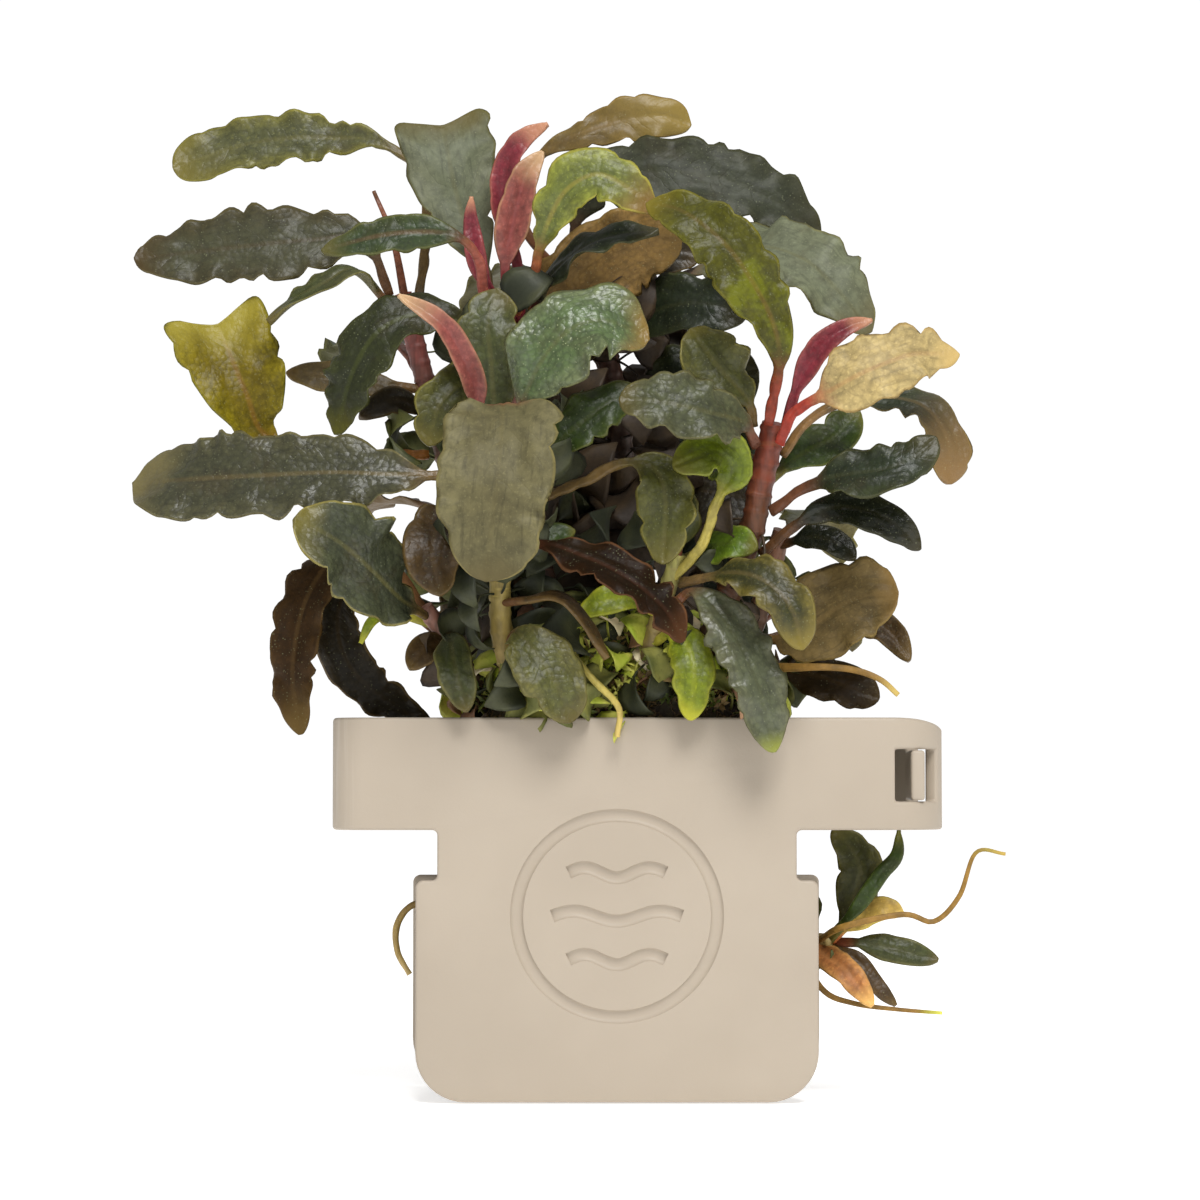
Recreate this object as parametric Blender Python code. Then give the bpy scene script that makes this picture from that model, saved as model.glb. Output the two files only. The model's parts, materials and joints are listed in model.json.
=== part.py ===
"""Bucephalandra, a small aquarium plant, growing out of a folded plastic holder.

The holder is one strip: a front plate, a fold at the left, a back plate and an arm whose tongue is
snapped through a window in the front flap. Between the plates sits the root ball. Stems rise out of
it, and every leaf starts 0.3 mm off the stem that carries it.

Places are in millimetres as they are sighted from in front: (x, z) on the plane of the holder's front
face, and a depth behind that plane, or before it where the depth is negative.
"""

import math
from dataclasses import dataclass

import bmesh
import bpy
from mathutils import Vector, noise

MM = 0.001
GAP = 0.3

# Where the plant is sighted from
EYE_X = -2.2
EYE_Z = 42.0
EYE_DISTANCE = 450.0

# Holder, a strip of even thickness
WALL = 1.8
EDGE_ROUNDING = 0.35
SHARP_EDGE_DEGREES = 50.0
FRONT_Y = 0.0
BACK_Y = 26.0
FRONT_FACE_Y = FRONT_Y - WALL / 2
BAND_BOTTOM = 35.1
BAND_TOP = 49.7
PANEL_HALF = 33.0
NECK_HALF = 23.3
PLATE_HALF = 26.1
BACK_PLATE_EXTRA = 1.7
PLATE_SHOULDER = 28.6
FOOT_RADIUS = 6.5
SHOULDER_RADIUS = 1.0
NECK_RADIUS = 0.7
WINDOW_BOTTOM = 38.8
WINDOW_TOP = 45.6
TONGUE_BOTTOM = 39.3
TONGUE_TOP = 45.1
FLAP_DROP = 1.4

# Plan of the strip's ends, as (x, y), in front of and beside the root ball
FLAP_PLAN = ((36.0, 0.1), (38.0, 0.8), (39.7, 2.0), (41.1, 3.7), (42.0, 5.6))
FOLD_MIDDLE = (-33.0, 3.2)
FOLD_RADIUS = 3.2
LEFT_WALL = (-36.7, 9.0)
LEFT_TURN_MIDDLE = (-33.6, 22.0)
LEFT_TURN_RADIUS = 4.0
ARM_TURN_MIDDLE = (33.6, 21.6)
ARM_TURN_RADIUS = 4.4
ARM_PLAN = ((38.4, 15.0), (38.9, 9.5))
TONGUE_PLAN = ((38.9, 7.5), (38.9, 4.0), (38.9, 0.2))
TURN_STEPS = 5
CORNER_STEPS = 3
WINDOW_CELLS = ((1, 1), (2, 1), (3, 1))
SAME_PLACE = 0.001

# Sunk figure on the front plate: a ring round three ripples
FIGURE_Z = 24.0
FIGURE_RADIUS = 13.0
FIGURE_LINE = 1.5
FIGURE_DEPTH = 0.5
RIPPLE_RISE = 1.3
RIPPLE_SPACING = 5.6
RIPPLE_STEPS = 9
RIPPLE_HALF_WIDTHS = (6.3, 8.4, 6.3)
RING_SIDES = 28
CUTTER_REACH = 1.0

# Root ball, squeezed between the plates and heaped above them
BALL_SIDES = 18
BALL_Y = (FRONT_Y + BACK_Y) / 2
BALL_HALF_DEPTH = 11.6
BALL_LEVELS = (
    (1.5, 13.0, 0.70), (4.0, 18.5, 0.94), (10.0, 20.6, 1.0), (18.0, 21.2, 1.0), (26.0, 21.0, 1.0),
    (34.0, 20.8, 1.0), (42.0, 20.4, 1.0), (49.5, 19.0, 0.97), (54.0, 16.5, 0.84), (58.0, 12.0, 0.64),
    (60.5, 6.0, 0.36),
)
BALL_SQUARENESS = 0.55
BALL_ROUGHNESS = 1.3
BALL_GRAIN = 0.35

# Leaf body; a leaf no wider than THREAD_WIDTH is a plain thread, such as a root
THREAD_WIDTH = 2.0
THREAD_THICKNESS = 0.8
PETIOLE_HALF_WIDTH = 0.7
PETIOLE_THICKNESS = 1.2
MIDRIB_THICKNESS = 0.8
MARGIN_THICKNESS = 0.45
MARGIN_SHARE = 0.6
BLADE_HALF_WIDTH = 2.8
TIP_HALF_WIDTH = 0.35
TIP_FROM = 0.45
TIP_CROWDING = 1.25
HORN_SPREAD = 1.5
HORN_LATENESS = 4
SEGMENT_LENGTH = 5.6
LEAST_SEGMENTS = 5
CURVE_STEPS = 16

# Stems, the sockets that they stand in, and free roots
STEM_SIDES = 8
STEM_SEGMENT = 6.0
STEM_STATIONS = 40
TWIG_INSET = 0.8
ROOT_SIDES = 5
ROOT_SEGMENT = 2.5

COLOURS = {
    "beige": (199, 186, 166), "root_brown": (92, 74, 52), "stem_brown": (110, 84, 66),
    "olive": (112, 112, 62), "khaki": (140, 134, 88), "grey_green": (112, 124, 104),
    "teal": (66, 94, 88), "dark_teal": (42, 60, 58), "green": (84, 122, 62),
    "yellow_green": (148, 156, 66), "lime": (172, 190, 84), "brown": (112, 82, 60),
    "dark_brown": (70, 54, 46), "maroon": (98, 50, 46), "pink": (208, 128, 124),
    "magenta": (166, 66, 98), "straw": (194, 170, 124), "black_green": (38, 46, 42),
    "taupe": (128, 112, 100), "tan_root": (168, 138, 74),
}

FORWARD = (0.0, -1.0, 0.3)
UPWARD = (0.0, -0.4, 1.0)


@dataclass
class Leaf:
    """One leaf: where it starts on its stem, where it goes, how wide it is and how it is turned."""
    stem: str
    at: float
    path: tuple
    width: float
    colour: str
    facings: tuple = (FORWARD,)
    petiole: float = 0.15
    rise: float = 0.45
    tip: float = 2.2
    fold: float = 0.12
    wave: float = 0.10
    waves: float = 2.0
    horns: float = 0.0


STEMS = {
    "stem_centre": (1.8, 1.5, ((-7, 50, 12), (-10, 70, 12), (-13, 88, 10), (-15, 105, 8))),
    "stem_back_left": (1.6, 1.3, ((-14, 50, 18), (-18, 68, 20), (-23, 86, 20), (-28, 105, 19))),
    "stem_front": (1.4, 1.3, ((-12, 50, 6), (-15, 61, 2), (-15, 74, -1), (-15, 88, -5))),
    "stem_left_low": (1.3, 1.1, ((-16, 50, 12), (-20, 57, 8), (-25, 64, 5))),
    "stem_right": (1.7, 1.6, ((8, 50, 9), (13, 62, 5), (17.5, 74, 0), (18.7, 80, -1), (20.5, 88, -3))),
    "stem_right_low": (1.5, 1.2, ((13, 50, 16), (18, 62, 13), (21.5, 74, 9))),
    "stem_centre_low": (1.3, 1.1, ((2, 50, 7), (5, 61, 4), (8, 71, 1))),
    "stem_back": (1.8, 1.5, ((0, 50, 17), (1, 70, 21), (0, 90, 22), (-4, 108, 20))),
    "side_shoot": (1.4, 1.2, ((16, 22, 14), (22, 21, 14), (28, 20.5, 12))),
}

LEAVES = {
    # Top of the plant
    "leaf_top_arching": Leaf(
        "stem_centre", 0.97,
        ((-17.5, 109, 10), (-19.8, 114, 10), (-21.2, 119, 11), (-22.2, 124, 12.5), (-22.9, 126.9, 14)),
        13.2, "grey_green", ((0, -1, 0.3),), 0.15, 0.9, 10.0, horns=4.6),
    "leaf_top_red_spear": Leaf(
        "stem_centre", 1.0,
        ((-14.6, 108.5, 5), (-13.6, 114, 4.5), (-12, 120, 4), (-9.7, 123.6, 4.5)),
        4.6, "pink", (FORWARD,), 0.12, 0.4, 1.6, 0.5, 0.05),
    "leaf_top_pale_pink": Leaf(
        "stem_centre", 0.93,
        ((-13, 108.5, 9), (-14.5, 116, 6.5), (-14.4, 121.5, 6), (-12.5, 125, 6), (-9, 127.3, 6)),
        4.0, "magenta", (FORWARD,), 0.3, 0.4, 1.6, 0.4, 0.05),
    "leaf_top_long_stalk": Leaf(
        "stem_back", 0.97,
        ((-11, 112, 19), (-14, 118, 19), (-10.5, 122.7, 18), (-5, 125.8, 17), (1, 127.8, 17),
         (6, 128.3, 17), (9.6, 127, 18)),
        7.0, "brown", (FORWARD,), 0.45, 0.9, 4.0),
    "leaf_top_yellow_green": Leaf(
        "stem_centre", 0.95,
        ((-11, 107, 3.5), (-9.4, 113, -1), (-6.8, 118.3, -3.5), (-2.6, 120.6, -4), (1.8, 118.6, -4),
         (5, 115.8, -3)),
        7.8, "yellow_green", (FORWARD,), 0.28, 0.6, 1.6),
    "leaf_top_edge_on": Leaf(
        "stem_centre", 0.86,
        ((-10.5, 103.5, 7.5), (-7, 108.8, 3.5), (-2, 112, 1.5), (5.5, 113.2, 1)),
        5.4, "dark_teal", ((0, -0.8, 0.8),), 0.2),
    "leaf_top_small_teal": Leaf(
        "stem_centre", 0.90,
        ((-17.4, 105, 4), (-18, 109.3, 2), (-20.5, 112.3, 0.5), (-25, 113, 0), (-31, 112.5, 0),
         (-38.5, 110.5, 1)),
        5.0, "teal", (FORWARD,), 0.4),
    "leaf_top_left_olive": Leaf(
        "stem_back_left", 0.97,
        ((-25, 112, 22), (-25.5, 120.5, 24), (-31, 124.8, 25), (-37, 125.4, 26), (-43, 125.4, 26),
         (-50, 124.2, 27), (-58, 121.3, 27)),
        8.8, "olive", (FORWARD,), 0.4, 0.8, 6.0),
    "leaf_top_right_dark": Leaf(
        "stem_back", 1.0,
        ((-5.5, 114, 16), (-3, 119, 14), (2.5, 121, 13), (9, 120.8, 12.5), (16, 119.3, 12.5),
         (22, 116.3, 13), (26.5, 112.3, 14)),
        9.8, "dark_teal", (FORWARD,), 0.1),
    "leaf_top_right_grey": Leaf(
        "stem_back", 0.90,
        ((4, 104.5, 18), (12, 108.8, 13), (18.5, 111, 6), (24.5, 109.3, 2), (29, 105, 1), (33, 99.8, 2)),
        12.0, "grey_green", ((0, -0.6, 1), (0.3, -1, 0.6), (0.6, -1, 0.3)), 0.25),
    "leaf_right_big_yellow_green": Leaf(
        "stem_right", 1.0,
        ((20.6, 92.5, -7), (21.2, 97, -9), (20, 102, -11), (17.5, 106.8, -12), (14.5, 111, -12),
         (11, 114.2, -11), (7.5, 116.2, -9), (4, 116.6, -7)),
        9.0, "yellow_green", (FORWARD,), 0.16, 0.6),

    # Left side
    "leaf_left_dark_brown": Leaf(
        "stem_back_left", 0.99,
        ((-33, 112, 16), (-40, 112, 15), (-50, 111, 15), (-63, 109.5, 16)),
        9.8, "dark_brown", ((0, -1, 0.2),), 0.10, 0.45, 3.2),
    "leaf_left_edge_on": Leaf(
        "stem_back_left", 0.94,
        ((-34, 107.8, 12), (-38, 106.3, 10), (-42, 104.2, 9), (-45.5, 101.2, 9)),
        5.0, "grey_green", ((0.3, -0.3, 1),), 0.15),
    "leaf_left_broad_horned": Leaf(
        "stem_back_left", 0.62,
        ((-34, 84, 16), (-42, 84.2, 15), (-46.4, 87, 14), (-48.2, 91.5, 13), (-50.3, 96.5, 13.5),
         (-52.2, 100.8, 15)),
        14.4, "yellow_green", ((0, -1, 0.4), (0.15, -1, 0.3)), 0.5, 0.95, 10.0, 0.3, horns=4.4),
    "leaf_left_dark_green": Leaf(
        "stem_centre", 0.88,
        ((-20, 101, 6), (-26, 102.2, 4), (-31, 100, 3), (-34.3, 94.8, 3), (-36.5, 86.5, 5)),
        8.4, "green", (FORWARD, (-0.5, -1, 0.3)), 0.10),
    "leaf_left_long": Leaf(
        "stem_front", 0.78,
        ((-20, 80.8, -4), (-30, 81.3, -6), (-38, 81.5, -5), (-48, 81, -3), (-57, 80.5, 0), (-62.8, 80, 4)),
        11.6, "khaki", ((0, -1, 0.4),), 0.14, 0.35, 5.0),
    "leaf_left_pale_margin": Leaf(
        "stem_left_low", 0.98,
        ((-28.2, 65, -3), (-32, 68.8, -8), (-36.5, 72.6, -12), (-42, 75.6, -14)),
        13.0, "olive", ((0.1, -1, 0.4),), 0.10, 0.5, 2.0),
    "leaf_left_chocolate": Leaf(
        "stem_left_low", 0.90,
        ((-30, 70, 7), (-35.5, 71, 6), (-39, 67.5, 5), (-41.2, 62, 4), (-42, 55, 4), (-41, 47.5, 5)),
        7.2, "brown", ((0, -0.3, 1), (-0.5, -1, 0.2), (-0.3, -1, 0)), 0.22),
    "leaf_left_curved_dark": Leaf(
        "stem_left_low", 0.80,
        ((-29, 65.5, 10), (-33, 67, 10), (-35.8, 64.5, 10), (-36, 60, 10), (-34, 55.5, 10),
         (-30, 52, 10), (-24, 48.5, 11)),
        6.6, "dark_brown", (FORWARD, (-0.8, -1, 0)), 0.22, 0.4, 2.0, 0.12, 0.05),

    # Front, on the stem in front
    "leaf_front_hanging": Leaf(
        "stem_front", 0.99,
        ((-14.8, 90.3, -10), (-15, 88, -15), (-15.5, 80.5, -19), (-16.4, 73.5, -18.5), (-17, 67.5, -16)),
        14.4, "khaki", ((0, 0, 1), (0, -1, 0.5), (0, -1, 0.1), (0, -1, 0)), 0.08, 0.25, 2.4),
    "leaf_front_glossy_teal": Leaf(
        "stem_front", 0.97,
        ((-11.5, 92.5, -8), (-8.8, 97.5, -10), (-5, 100.8, -10), (-0.8, 101.2, -9), (4, 98.8, -7)),
        12.0, "teal", ((0, -1, 0.6),), 0.10),
    "leaf_front_grey": Leaf(
        "stem_front", 0.93,
        ((-16, 90, -1.5), (-16.4, 96, -2.5), (-16.8, 101, -2.5), (-15.5, 105.5, -1)),
        8.6, "grey_green", (FORWARD,), 0.12, 0.5, 2.6),
    "leaf_front_rolled_pink": Leaf(
        "stem_front", 0.90,
        ((-18, 90.5, -7), (-19.8, 96, -10.5), (-23, 101, -12), (-28.5, 104.7, -11.5)),
        3.2, "pink", (FORWARD,), 0.2, 0.3, 1.6, 0.7, 0.0),
    "leaf_front_brown_veined": Leaf(
        "stem_front", 0.70,
        ((-19, 77.5, -0.5), (-22.5, 75.5, -3.5), (-24, 71.5, -7), (-22.9, 65.5, -8)),
        7.6, "brown", (FORWARD,), 0.15),
    "leaf_front_dark_green": Leaf(
        "stem_front", 0.86,
        ((-10, 83.7, -6), (-5.5, 87.3, -7), (-1, 90.7, -6.5), (3, 92.5, -5)),
        6.2, "green", (FORWARD,), 0.15),
    "leaf_front_round_olive": Leaf(
        "stem_front", 0.72,
        ((-9, 78.5, -2), (-4, 80.5, -3.5), (1, 82.8, -4.5), (4.8, 82, -5), (6.3, 78, -5.5), (6, 69.6, -5.5)),
        7.4, "olive", (FORWARD,), 0.48),
    "leaf_front_maroon": Leaf(
        "stem_front", 0.56,
        ((-10.5, 72.3, -5), (-4, 70.4, -8), (1.5, 67.6, -10), (6, 63.8, -10), (8.5, 59.5, -9)),
        7.0, "maroon", ((0, -0.8, 0.8),), 0.15),
    "leaf_front_low_grey": Leaf(
        "stem_front", 0.28,
        ((-12.8, 60.5, -3), (-10.5, 57.8, -5), (-8, 54, -5.5), (-6, 49, -5)),
        8.6, "grey_green", ((0.2, -1, 0.3),), 0.10),

    # Right side, on the stem at the right
    "leaf_right_magenta_spear": Leaf(
        "stem_right", 0.98,
        ((23.5, 92.5, -2), (26.5, 97.8, -3), (30, 100.4, -3), (33.2, 101.4, -2)),
        3.2, "magenta", (FORWARD,), 0.2, 0.4, 1.6, 0.5, 0.0),
    "leaf_right_straw": Leaf(
        "stem_right", 0.96,
        ((23, 89.3, -7), (27, 91.7, -10), (31, 94, -12), (35, 95.8, -12), (39, 97, -11), (44.5, 96.8, -9)),
        9.2, "straw", (FORWARD,), 0.3, 0.35, 0.9),
    "leaf_right_taupe_tip": Leaf(
        "stem_right", 0.91,
        ((25, 88.3, 0), (30, 90.9, 0), (35, 91.4, -1), (40, 90, -2.5), (42.9, 86, -3.5), (43.2, 80, -3)),
        6.6, "taupe", ((0, -0.5, 1), (0, -0.7, 1), (0.6, -1, 0.5), (0.4, -1, 0)), 0.25, 0.45, 4.0),
    "leaf_right_centre_grey": Leaf(
        "stem_right", 0.93,
        ((16.5, 88, -7), (12.5, 89.2, -11), (8, 90.3, -12.5), (4, 90.9, -12.5), (0.3, 91, -12)),
        8.6, "grey_green", (FORWARD,), 0.10, 0.45, 2.6),
    "leaf_right_centre_olive": Leaf(
        "stem_right", 0.98,
        ((17, 91, -3.5), (13.5, 95, -4.5), (9.5, 100.3, -4)),
        8.4, "olive", (FORWARD,), 0.15, 0.5, 2.6),
    "leaf_right_glossy_teal": Leaf(
        "stem_right", 0.72,
        ((23.5, 79, -5), (27.5, 80.7, -8), (31, 81.4, -10), (35, 82, -11), (38.8, 83.6, -11),
         (41.6, 86, -10)),
        7.2, "dark_teal", ((0, -1, 0.5),), 0.28),
    "leaf_right_black": Leaf(
        "stem_right", 0.60,
        ((22, 73.7, -3), (25.5, 76, -5), (29, 77, -6), (33.5, 76.2, -7), (37, 74, -7), (39.3, 71.5, -6)),
        5.0, "black_green", (FORWARD,), 0.25),
    "leaf_right_taupe_underside": Leaf(
        "stem_right_low", 0.45,
        ((21.5, 60, 9), (24.5, 61, 6), (28.5, 63.8, 4), (32.5, 65.6, 3), (36.6, 65.8, 3)),
        11.5, "taupe", (FORWARD,), 0.10, 0.5, 3.0),
    "leaf_right_low_brown": Leaf(
        "stem_right_low", 0.28,
        ((18.5, 55.5, 12), (24, 55.5, 11), (29, 54, 10), (34, 52, 10)),
        7.0, "brown", (FORWARD,), 0.20),

    # Low in the middle, hanging over the band
    "leaf_low_blue_green": Leaf(
        "stem_centre_low", 0.66,
        ((9.5, 66, -1.5), (12.8, 63.8, -4), (15.8, 59, -6), (18.5, 53, -7), (20.3, 45.2, -6)),
        7.8, "dark_teal", ((0.3, -1, 0.4),), 0.15),
    "leaf_low_khaki_veined": Leaf(
        "stem_centre_low", 0.86,
        ((12.5, 68, -3.5), (16.5, 68.3, -8), (20, 66.8, -10), (22.8, 63.5, -11), (24, 58.5, -10)),
        6.8, "khaki", ((0, -1, 0.5),), 0.20),

    # Middle, on the stem behind
    "leaf_middle_teal": Leaf(
        "stem_back", 0.88,
        ((3, 102, 14), (8, 103.5, 9), (12.5, 103.5, 7), (17, 102, 7)),
        9.6, "dark_teal", (FORWARD,), 0.15),
}

# Leaves at the back arch away from the stems: stem, start, turn round +Z from the back, rise, length
BACK_LEAVES = (
    ("stem_back", 0.84, -35.0, 46.0, 34.0, 9.5, "grey_green"),
    ("stem_back", 0.66, 30.0, 34.0, 36.0, 10.5, "olive"),
    ("stem_back", 0.42, -8.0, 22.0, 33.0, 9.0, "dark_teal"),
    ("stem_back_left", 0.80, -28.0, 38.0, 32.0, 8.5, "teal"),
    ("stem_back_left", 0.45, -40.0, 24.0, 34.0, 9.5, "brown"),
    ("stem_right_low", 0.80, 20.0, 40.0, 34.0, 9.0, "olive"),
    ("stem_right_low", 0.50, 30.0, 20.0, 30.0, 8.0, "grey_green"),
)
BACK_LEAF_SHARES = (0.12, 0.3, 0.5, 0.7, 0.86, 1.0)
BACK_LEAF_DROOP = 0.66
BACK_LEAF_TIP_DROP = 0.2
BACK_LEAF_LEAN = 0.2
BACK_LEAF_PETIOLE = 0.22
BACK_LEAF_SEGMENTS = 7

# Small leaves and stubs that are one with their stem
TWIGS = {
    "stem_centre": (
        Leaf("stem_centre", 0.98, ((-17.9, 108, 5.5), (-19, 114, 5.5), (-19, 117.7, 5.5)),
             2.6, "magenta", (FORWARD,), 0.1, 0.4, 1.4, 0.4, 0.0),
        Leaf("stem_centre", 0.76, ((-9, 99, 11), (-4.5, 106, 10), (1, 110.4, 9.5), (8.5, 112, 9.5)),
             12.0, "brown", ((0.2, -1, -0.1),)),
        Leaf("stem_centre", 0.76, ((-17.5, 94, 7), (-20.5, 93, 5), (-23.3, 90, 4), (-24.5, 85, 4)),
             6.8, "olive", (FORWARD,), 0.10),
    ),
    "stem_back_left": (
        Leaf("stem_back_left", 0.98, ((-29.2, 112, 15), (-31.8, 118.5, 15)), 1.2, "maroon", petiole=1.0),
        Leaf("stem_back_left", 0.78, ((-34, 93.5, 17), (-39, 94.3, 17), (-43, 94.5, 18)), 4.8, "taupe"),
        Leaf("stem_back_left", 0.70, ((-28.5, 91, 14), (-33.5, 88.8, 11)), 4.0, "dark_brown"),
    ),
    "stem_front": (
        Leaf("stem_front", 0.40, ((-11.3, 65, -3), (-8, 65.4, -5), (-5, 63.3, -6), (-1.3, 57.3, -6)),
             2.8, "brown", (UPWARD,)),
        Leaf("stem_front", 0.60, ((-10, 73.4, -1), (-5.5, 73.8, 0)), 3.2, "green"),
    ),
    "stem_left_low": (
        Leaf("stem_left_low", 0.85, ((-28, 63, 6.5), (-30, 63.3, 5), (-32, 62, 4), (-33.3, 59.3, 4)),
             1.4, "lime", petiole=0.4),
        Leaf("stem_left_low", 0.50, ((-24.2, 58.8, 4), (-27, 56, 3)), 4.4, "brown"),
        Leaf("stem_left_low", 0.72, ((-21.7, 60, 2), (-21, 56, -2), (-19.5, 50.5, -3.5)),
             4.8, "grey_green"),
    ),
    "stem_right": (
        Leaf("stem_right", 0.80, ((23.5, 83.5, 3), (28, 86, 6), (31.5, 89.5, 9)), 6.0, "green"),
    ),
    "stem_right_low": (
        Leaf("stem_right_low", 0.92, ((24.5, 73, 6), (28, 72.6, 4), (31, 70.3, 3)), 4.2, "black_green"),
        Leaf("stem_right_low", 0.25,
             ((19.5, 56, 7), (24, 56.2, 2), (30, 56, 0), (34, 54.7, -1), (36.5, 52.6, -1)),
             1.6, "tan_root", petiole=1.0),
        Leaf("stem_right_low", 0.40, ((24, 61, 15), (30, 62.3, 15), (35, 61, 14), (38, 57, 13)),
             5.0, "brown"),
    ),
    "stem_centre_low": (
        Leaf("stem_centre_low", 0.97, ((8, 75, -2), (8, 80, -2)), 5.6, "grey_green"),
        Leaf("stem_centre_low", 0.85,
             ((11, 72, -2), (13, 77.5, -4), (15, 82, -6), (12.4, 84.2, -8), (7.3, 82.2, -8)),
             6.6, "green", petiole=0.5),
        Leaf("stem_centre_low", 0.95, ((11.5, 71.5, 0.5), (15, 72.4, -2.2), (18.3, 71.8, -3)), 5.0, "green"),
        Leaf("stem_centre_low", 0.62, ((1.5, 65, 2), (-1.5, 64.8, 1), (-5, 63, 1)), 3.8, "lime"),
        Leaf("stem_centre_low", 0.46, ((7.5, 60.8, 0), (9.5, 58, -3), (10, 54.5, -4), (9.5, 49.3, -3.8)),
             5.4, "lime"),
    ),
    "stem_back": (
        Leaf("stem_back", 0.98, ((1, 109.5, 14.5), (5.5, 111, 13.5), (11, 110, 14)), 8.4, "dark_brown"),
        Leaf("stem_back", 0.82, ((-4, 98.5, 17), (-8, 100.5, 16), (-13, 103, 15)), 12.0, "dark_brown"),
        Leaf("stem_back", 0.66, ((6, 91, 19), (11, 93, 17), (18.5, 95, 16)), 14.0, "dark_teal"),
        Leaf("stem_back", 0.44, ((6, 79, 18), (12, 79, 15), (20, 77.5, 13)), 15.0, "dark_brown"),
        Leaf("stem_back", 0.74, ((-3.5, 97, 26), (-7.5, 92, 27.5), (-9, 80, 28), (-8, 66, 27.5)),
             16.0, "dark_brown"),
        Leaf("stem_back", 0.66, ((5, 94, 26.5), (9.5, 89, 28), (11.5, 78, 28.5), (11, 65, 28)),
             15.0, "dark_teal"),
        Leaf("stem_back", 0.36, ((-4, 74.5, 25), (-11, 73, 24.5), (-17, 65, 24.5), (-20, 54, 24.5)),
             13.0, "brown"),
        Leaf("stem_back", 0.28, ((4.5, 70, 24), (9, 69, 24), (13.5, 62.5, 24.5), (15, 54, 24.5)),
             13.0, "dark_teal"),
        Leaf("stem_back", 0.20, ((-2, 66, 24.5), (-5, 64, 25.5), (-6.5, 58, 26), (-6, 52.5, 26)),
             12.0, "dark_brown"),
    ),
    "side_shoot": (
        Leaf("side_shoot", 0.90, ((29.5, 23, 13), (31, 27, 13), (31.3, 31, 13), (28, 35.3, 14)),
             5.6, "olive", petiole=0.1),
        Leaf("side_shoot", 0.95, ((31, 25, 7), (34, 29.2, 7), (36.2, 31.8, 7), (36.5, 35, 8)), 2.2, "green"),
        Leaf("side_shoot", 0.97, ((31, 23.6, 10), (34.5, 25, 9), (37, 24.3, 9)), 3.8, "yellow_green"),
        Leaf("side_shoot", 0.99, ((33, 20.3, 11), (41.5, 18.3, 11)), 3.6, "grey_green"),
        Leaf("side_shoot", 0.94, ((31, 18.3, 10), (34, 14.6, 9), (36, 12.5, 9)), 2.6, "brown", petiole=0.0),
        Leaf("side_shoot", 0.70, ((27.5, 18.5, 8), (30, 16.5, 4.5), (33, 12.4, 3.5)),
             3.8, "straw", petiole=0.0),
        Leaf("side_shoot", 0.85, ((29, 22.5, 5), (37, 24.2, 5), (41, 23.3, 5), (44.3, 26.6, 5),
                                  (46.5, 32.2, 5), (50.3, 32, 5)), 1.1, "tan_root", petiole=1.0),
        Leaf("side_shoot", 0.60, ((26.5, 14.6, 14), (30.5, 12.8, 14), (36, 12, 14), (42, 11.5, 14)),
             1.0, "tan_root", petiole=1.0),
    ),
}

# Roots: half thickness at the start and at the end, and the way they take
ROOTS = {
    "root_over_band": (
        0.55, 0.4, ((-7, 60, 3), (-5.5, 57.5, -1), (-3, 54.5, -3), (0.2, 51, -3), (0, 47.2, -2.6))),
    "root_left_loop": (
        0.5, 0.4,
        ((-22.5, 25.5, 12), (-26.3, 25.5, 12), (-28.4, 23, 12), (-28.4, 19.5, 12), (-26.8, 16.5, 12))),
}


def clear_scene():
    for thing in list(bpy.data.objects):
        bpy.data.objects.remove(thing, do_unlink=True)


def linear(value):
    """Linear share of an 8-bit display value."""
    share = value / 255
    return share / 12.92 if share <= 0.04045 else ((share + 0.055) / 1.055) ** 2.4


def material(name, colour, roughness):
    made = bpy.data.materials.new(name)
    made.use_nodes = True
    surface = made.node_tree.nodes["Principled BSDF"]
    surface.inputs["Base Color"].default_value = (*(linear(part) for part in COLOURS[colour]), 1)
    surface.inputs["Roughness"].default_value = roughness
    surface.inputs["Metallic"].default_value = 0.0
    return made


def add_object(name, shape, colour, roughness=0.45):
    """Put a bmesh, in millimetres, into the scene as an object in metres."""
    bmesh.ops.recalc_face_normals(shape, faces=shape.faces)
    bmesh.ops.scale(shape, vec=(MM, MM, MM), verts=shape.verts)
    mesh = bpy.data.meshes.new(name)
    shape.to_mesh(mesh)
    shape.free()
    mesh.materials.append(material(name, colour, roughness))
    made = bpy.data.objects.new(name, mesh)
    bpy.context.collection.objects.link(made)
    return made


def as_guide(thing):
    thing.hide_render = True
    thing.display_type = "WIRE"
    return thing


def combine(target, guide, operation):
    """Add or cut a guide's shape with an exact Boolean."""
    step = target.modifiers.new(guide.name, "BOOLEAN")
    step.operation = operation
    step.solver = "EXACT"
    step.object = as_guide(guide)


def sighted(x, z, depth):
    """Place in millimetres of what is seen at (x, z) and lies depth behind the front face."""
    growth = 1 + depth / EYE_DISTANCE
    return Vector((EYE_X + (x - EYE_X) * growth, FRONT_FACE_Y + depth, EYE_Z + (z - EYE_Z) * growth))


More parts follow.
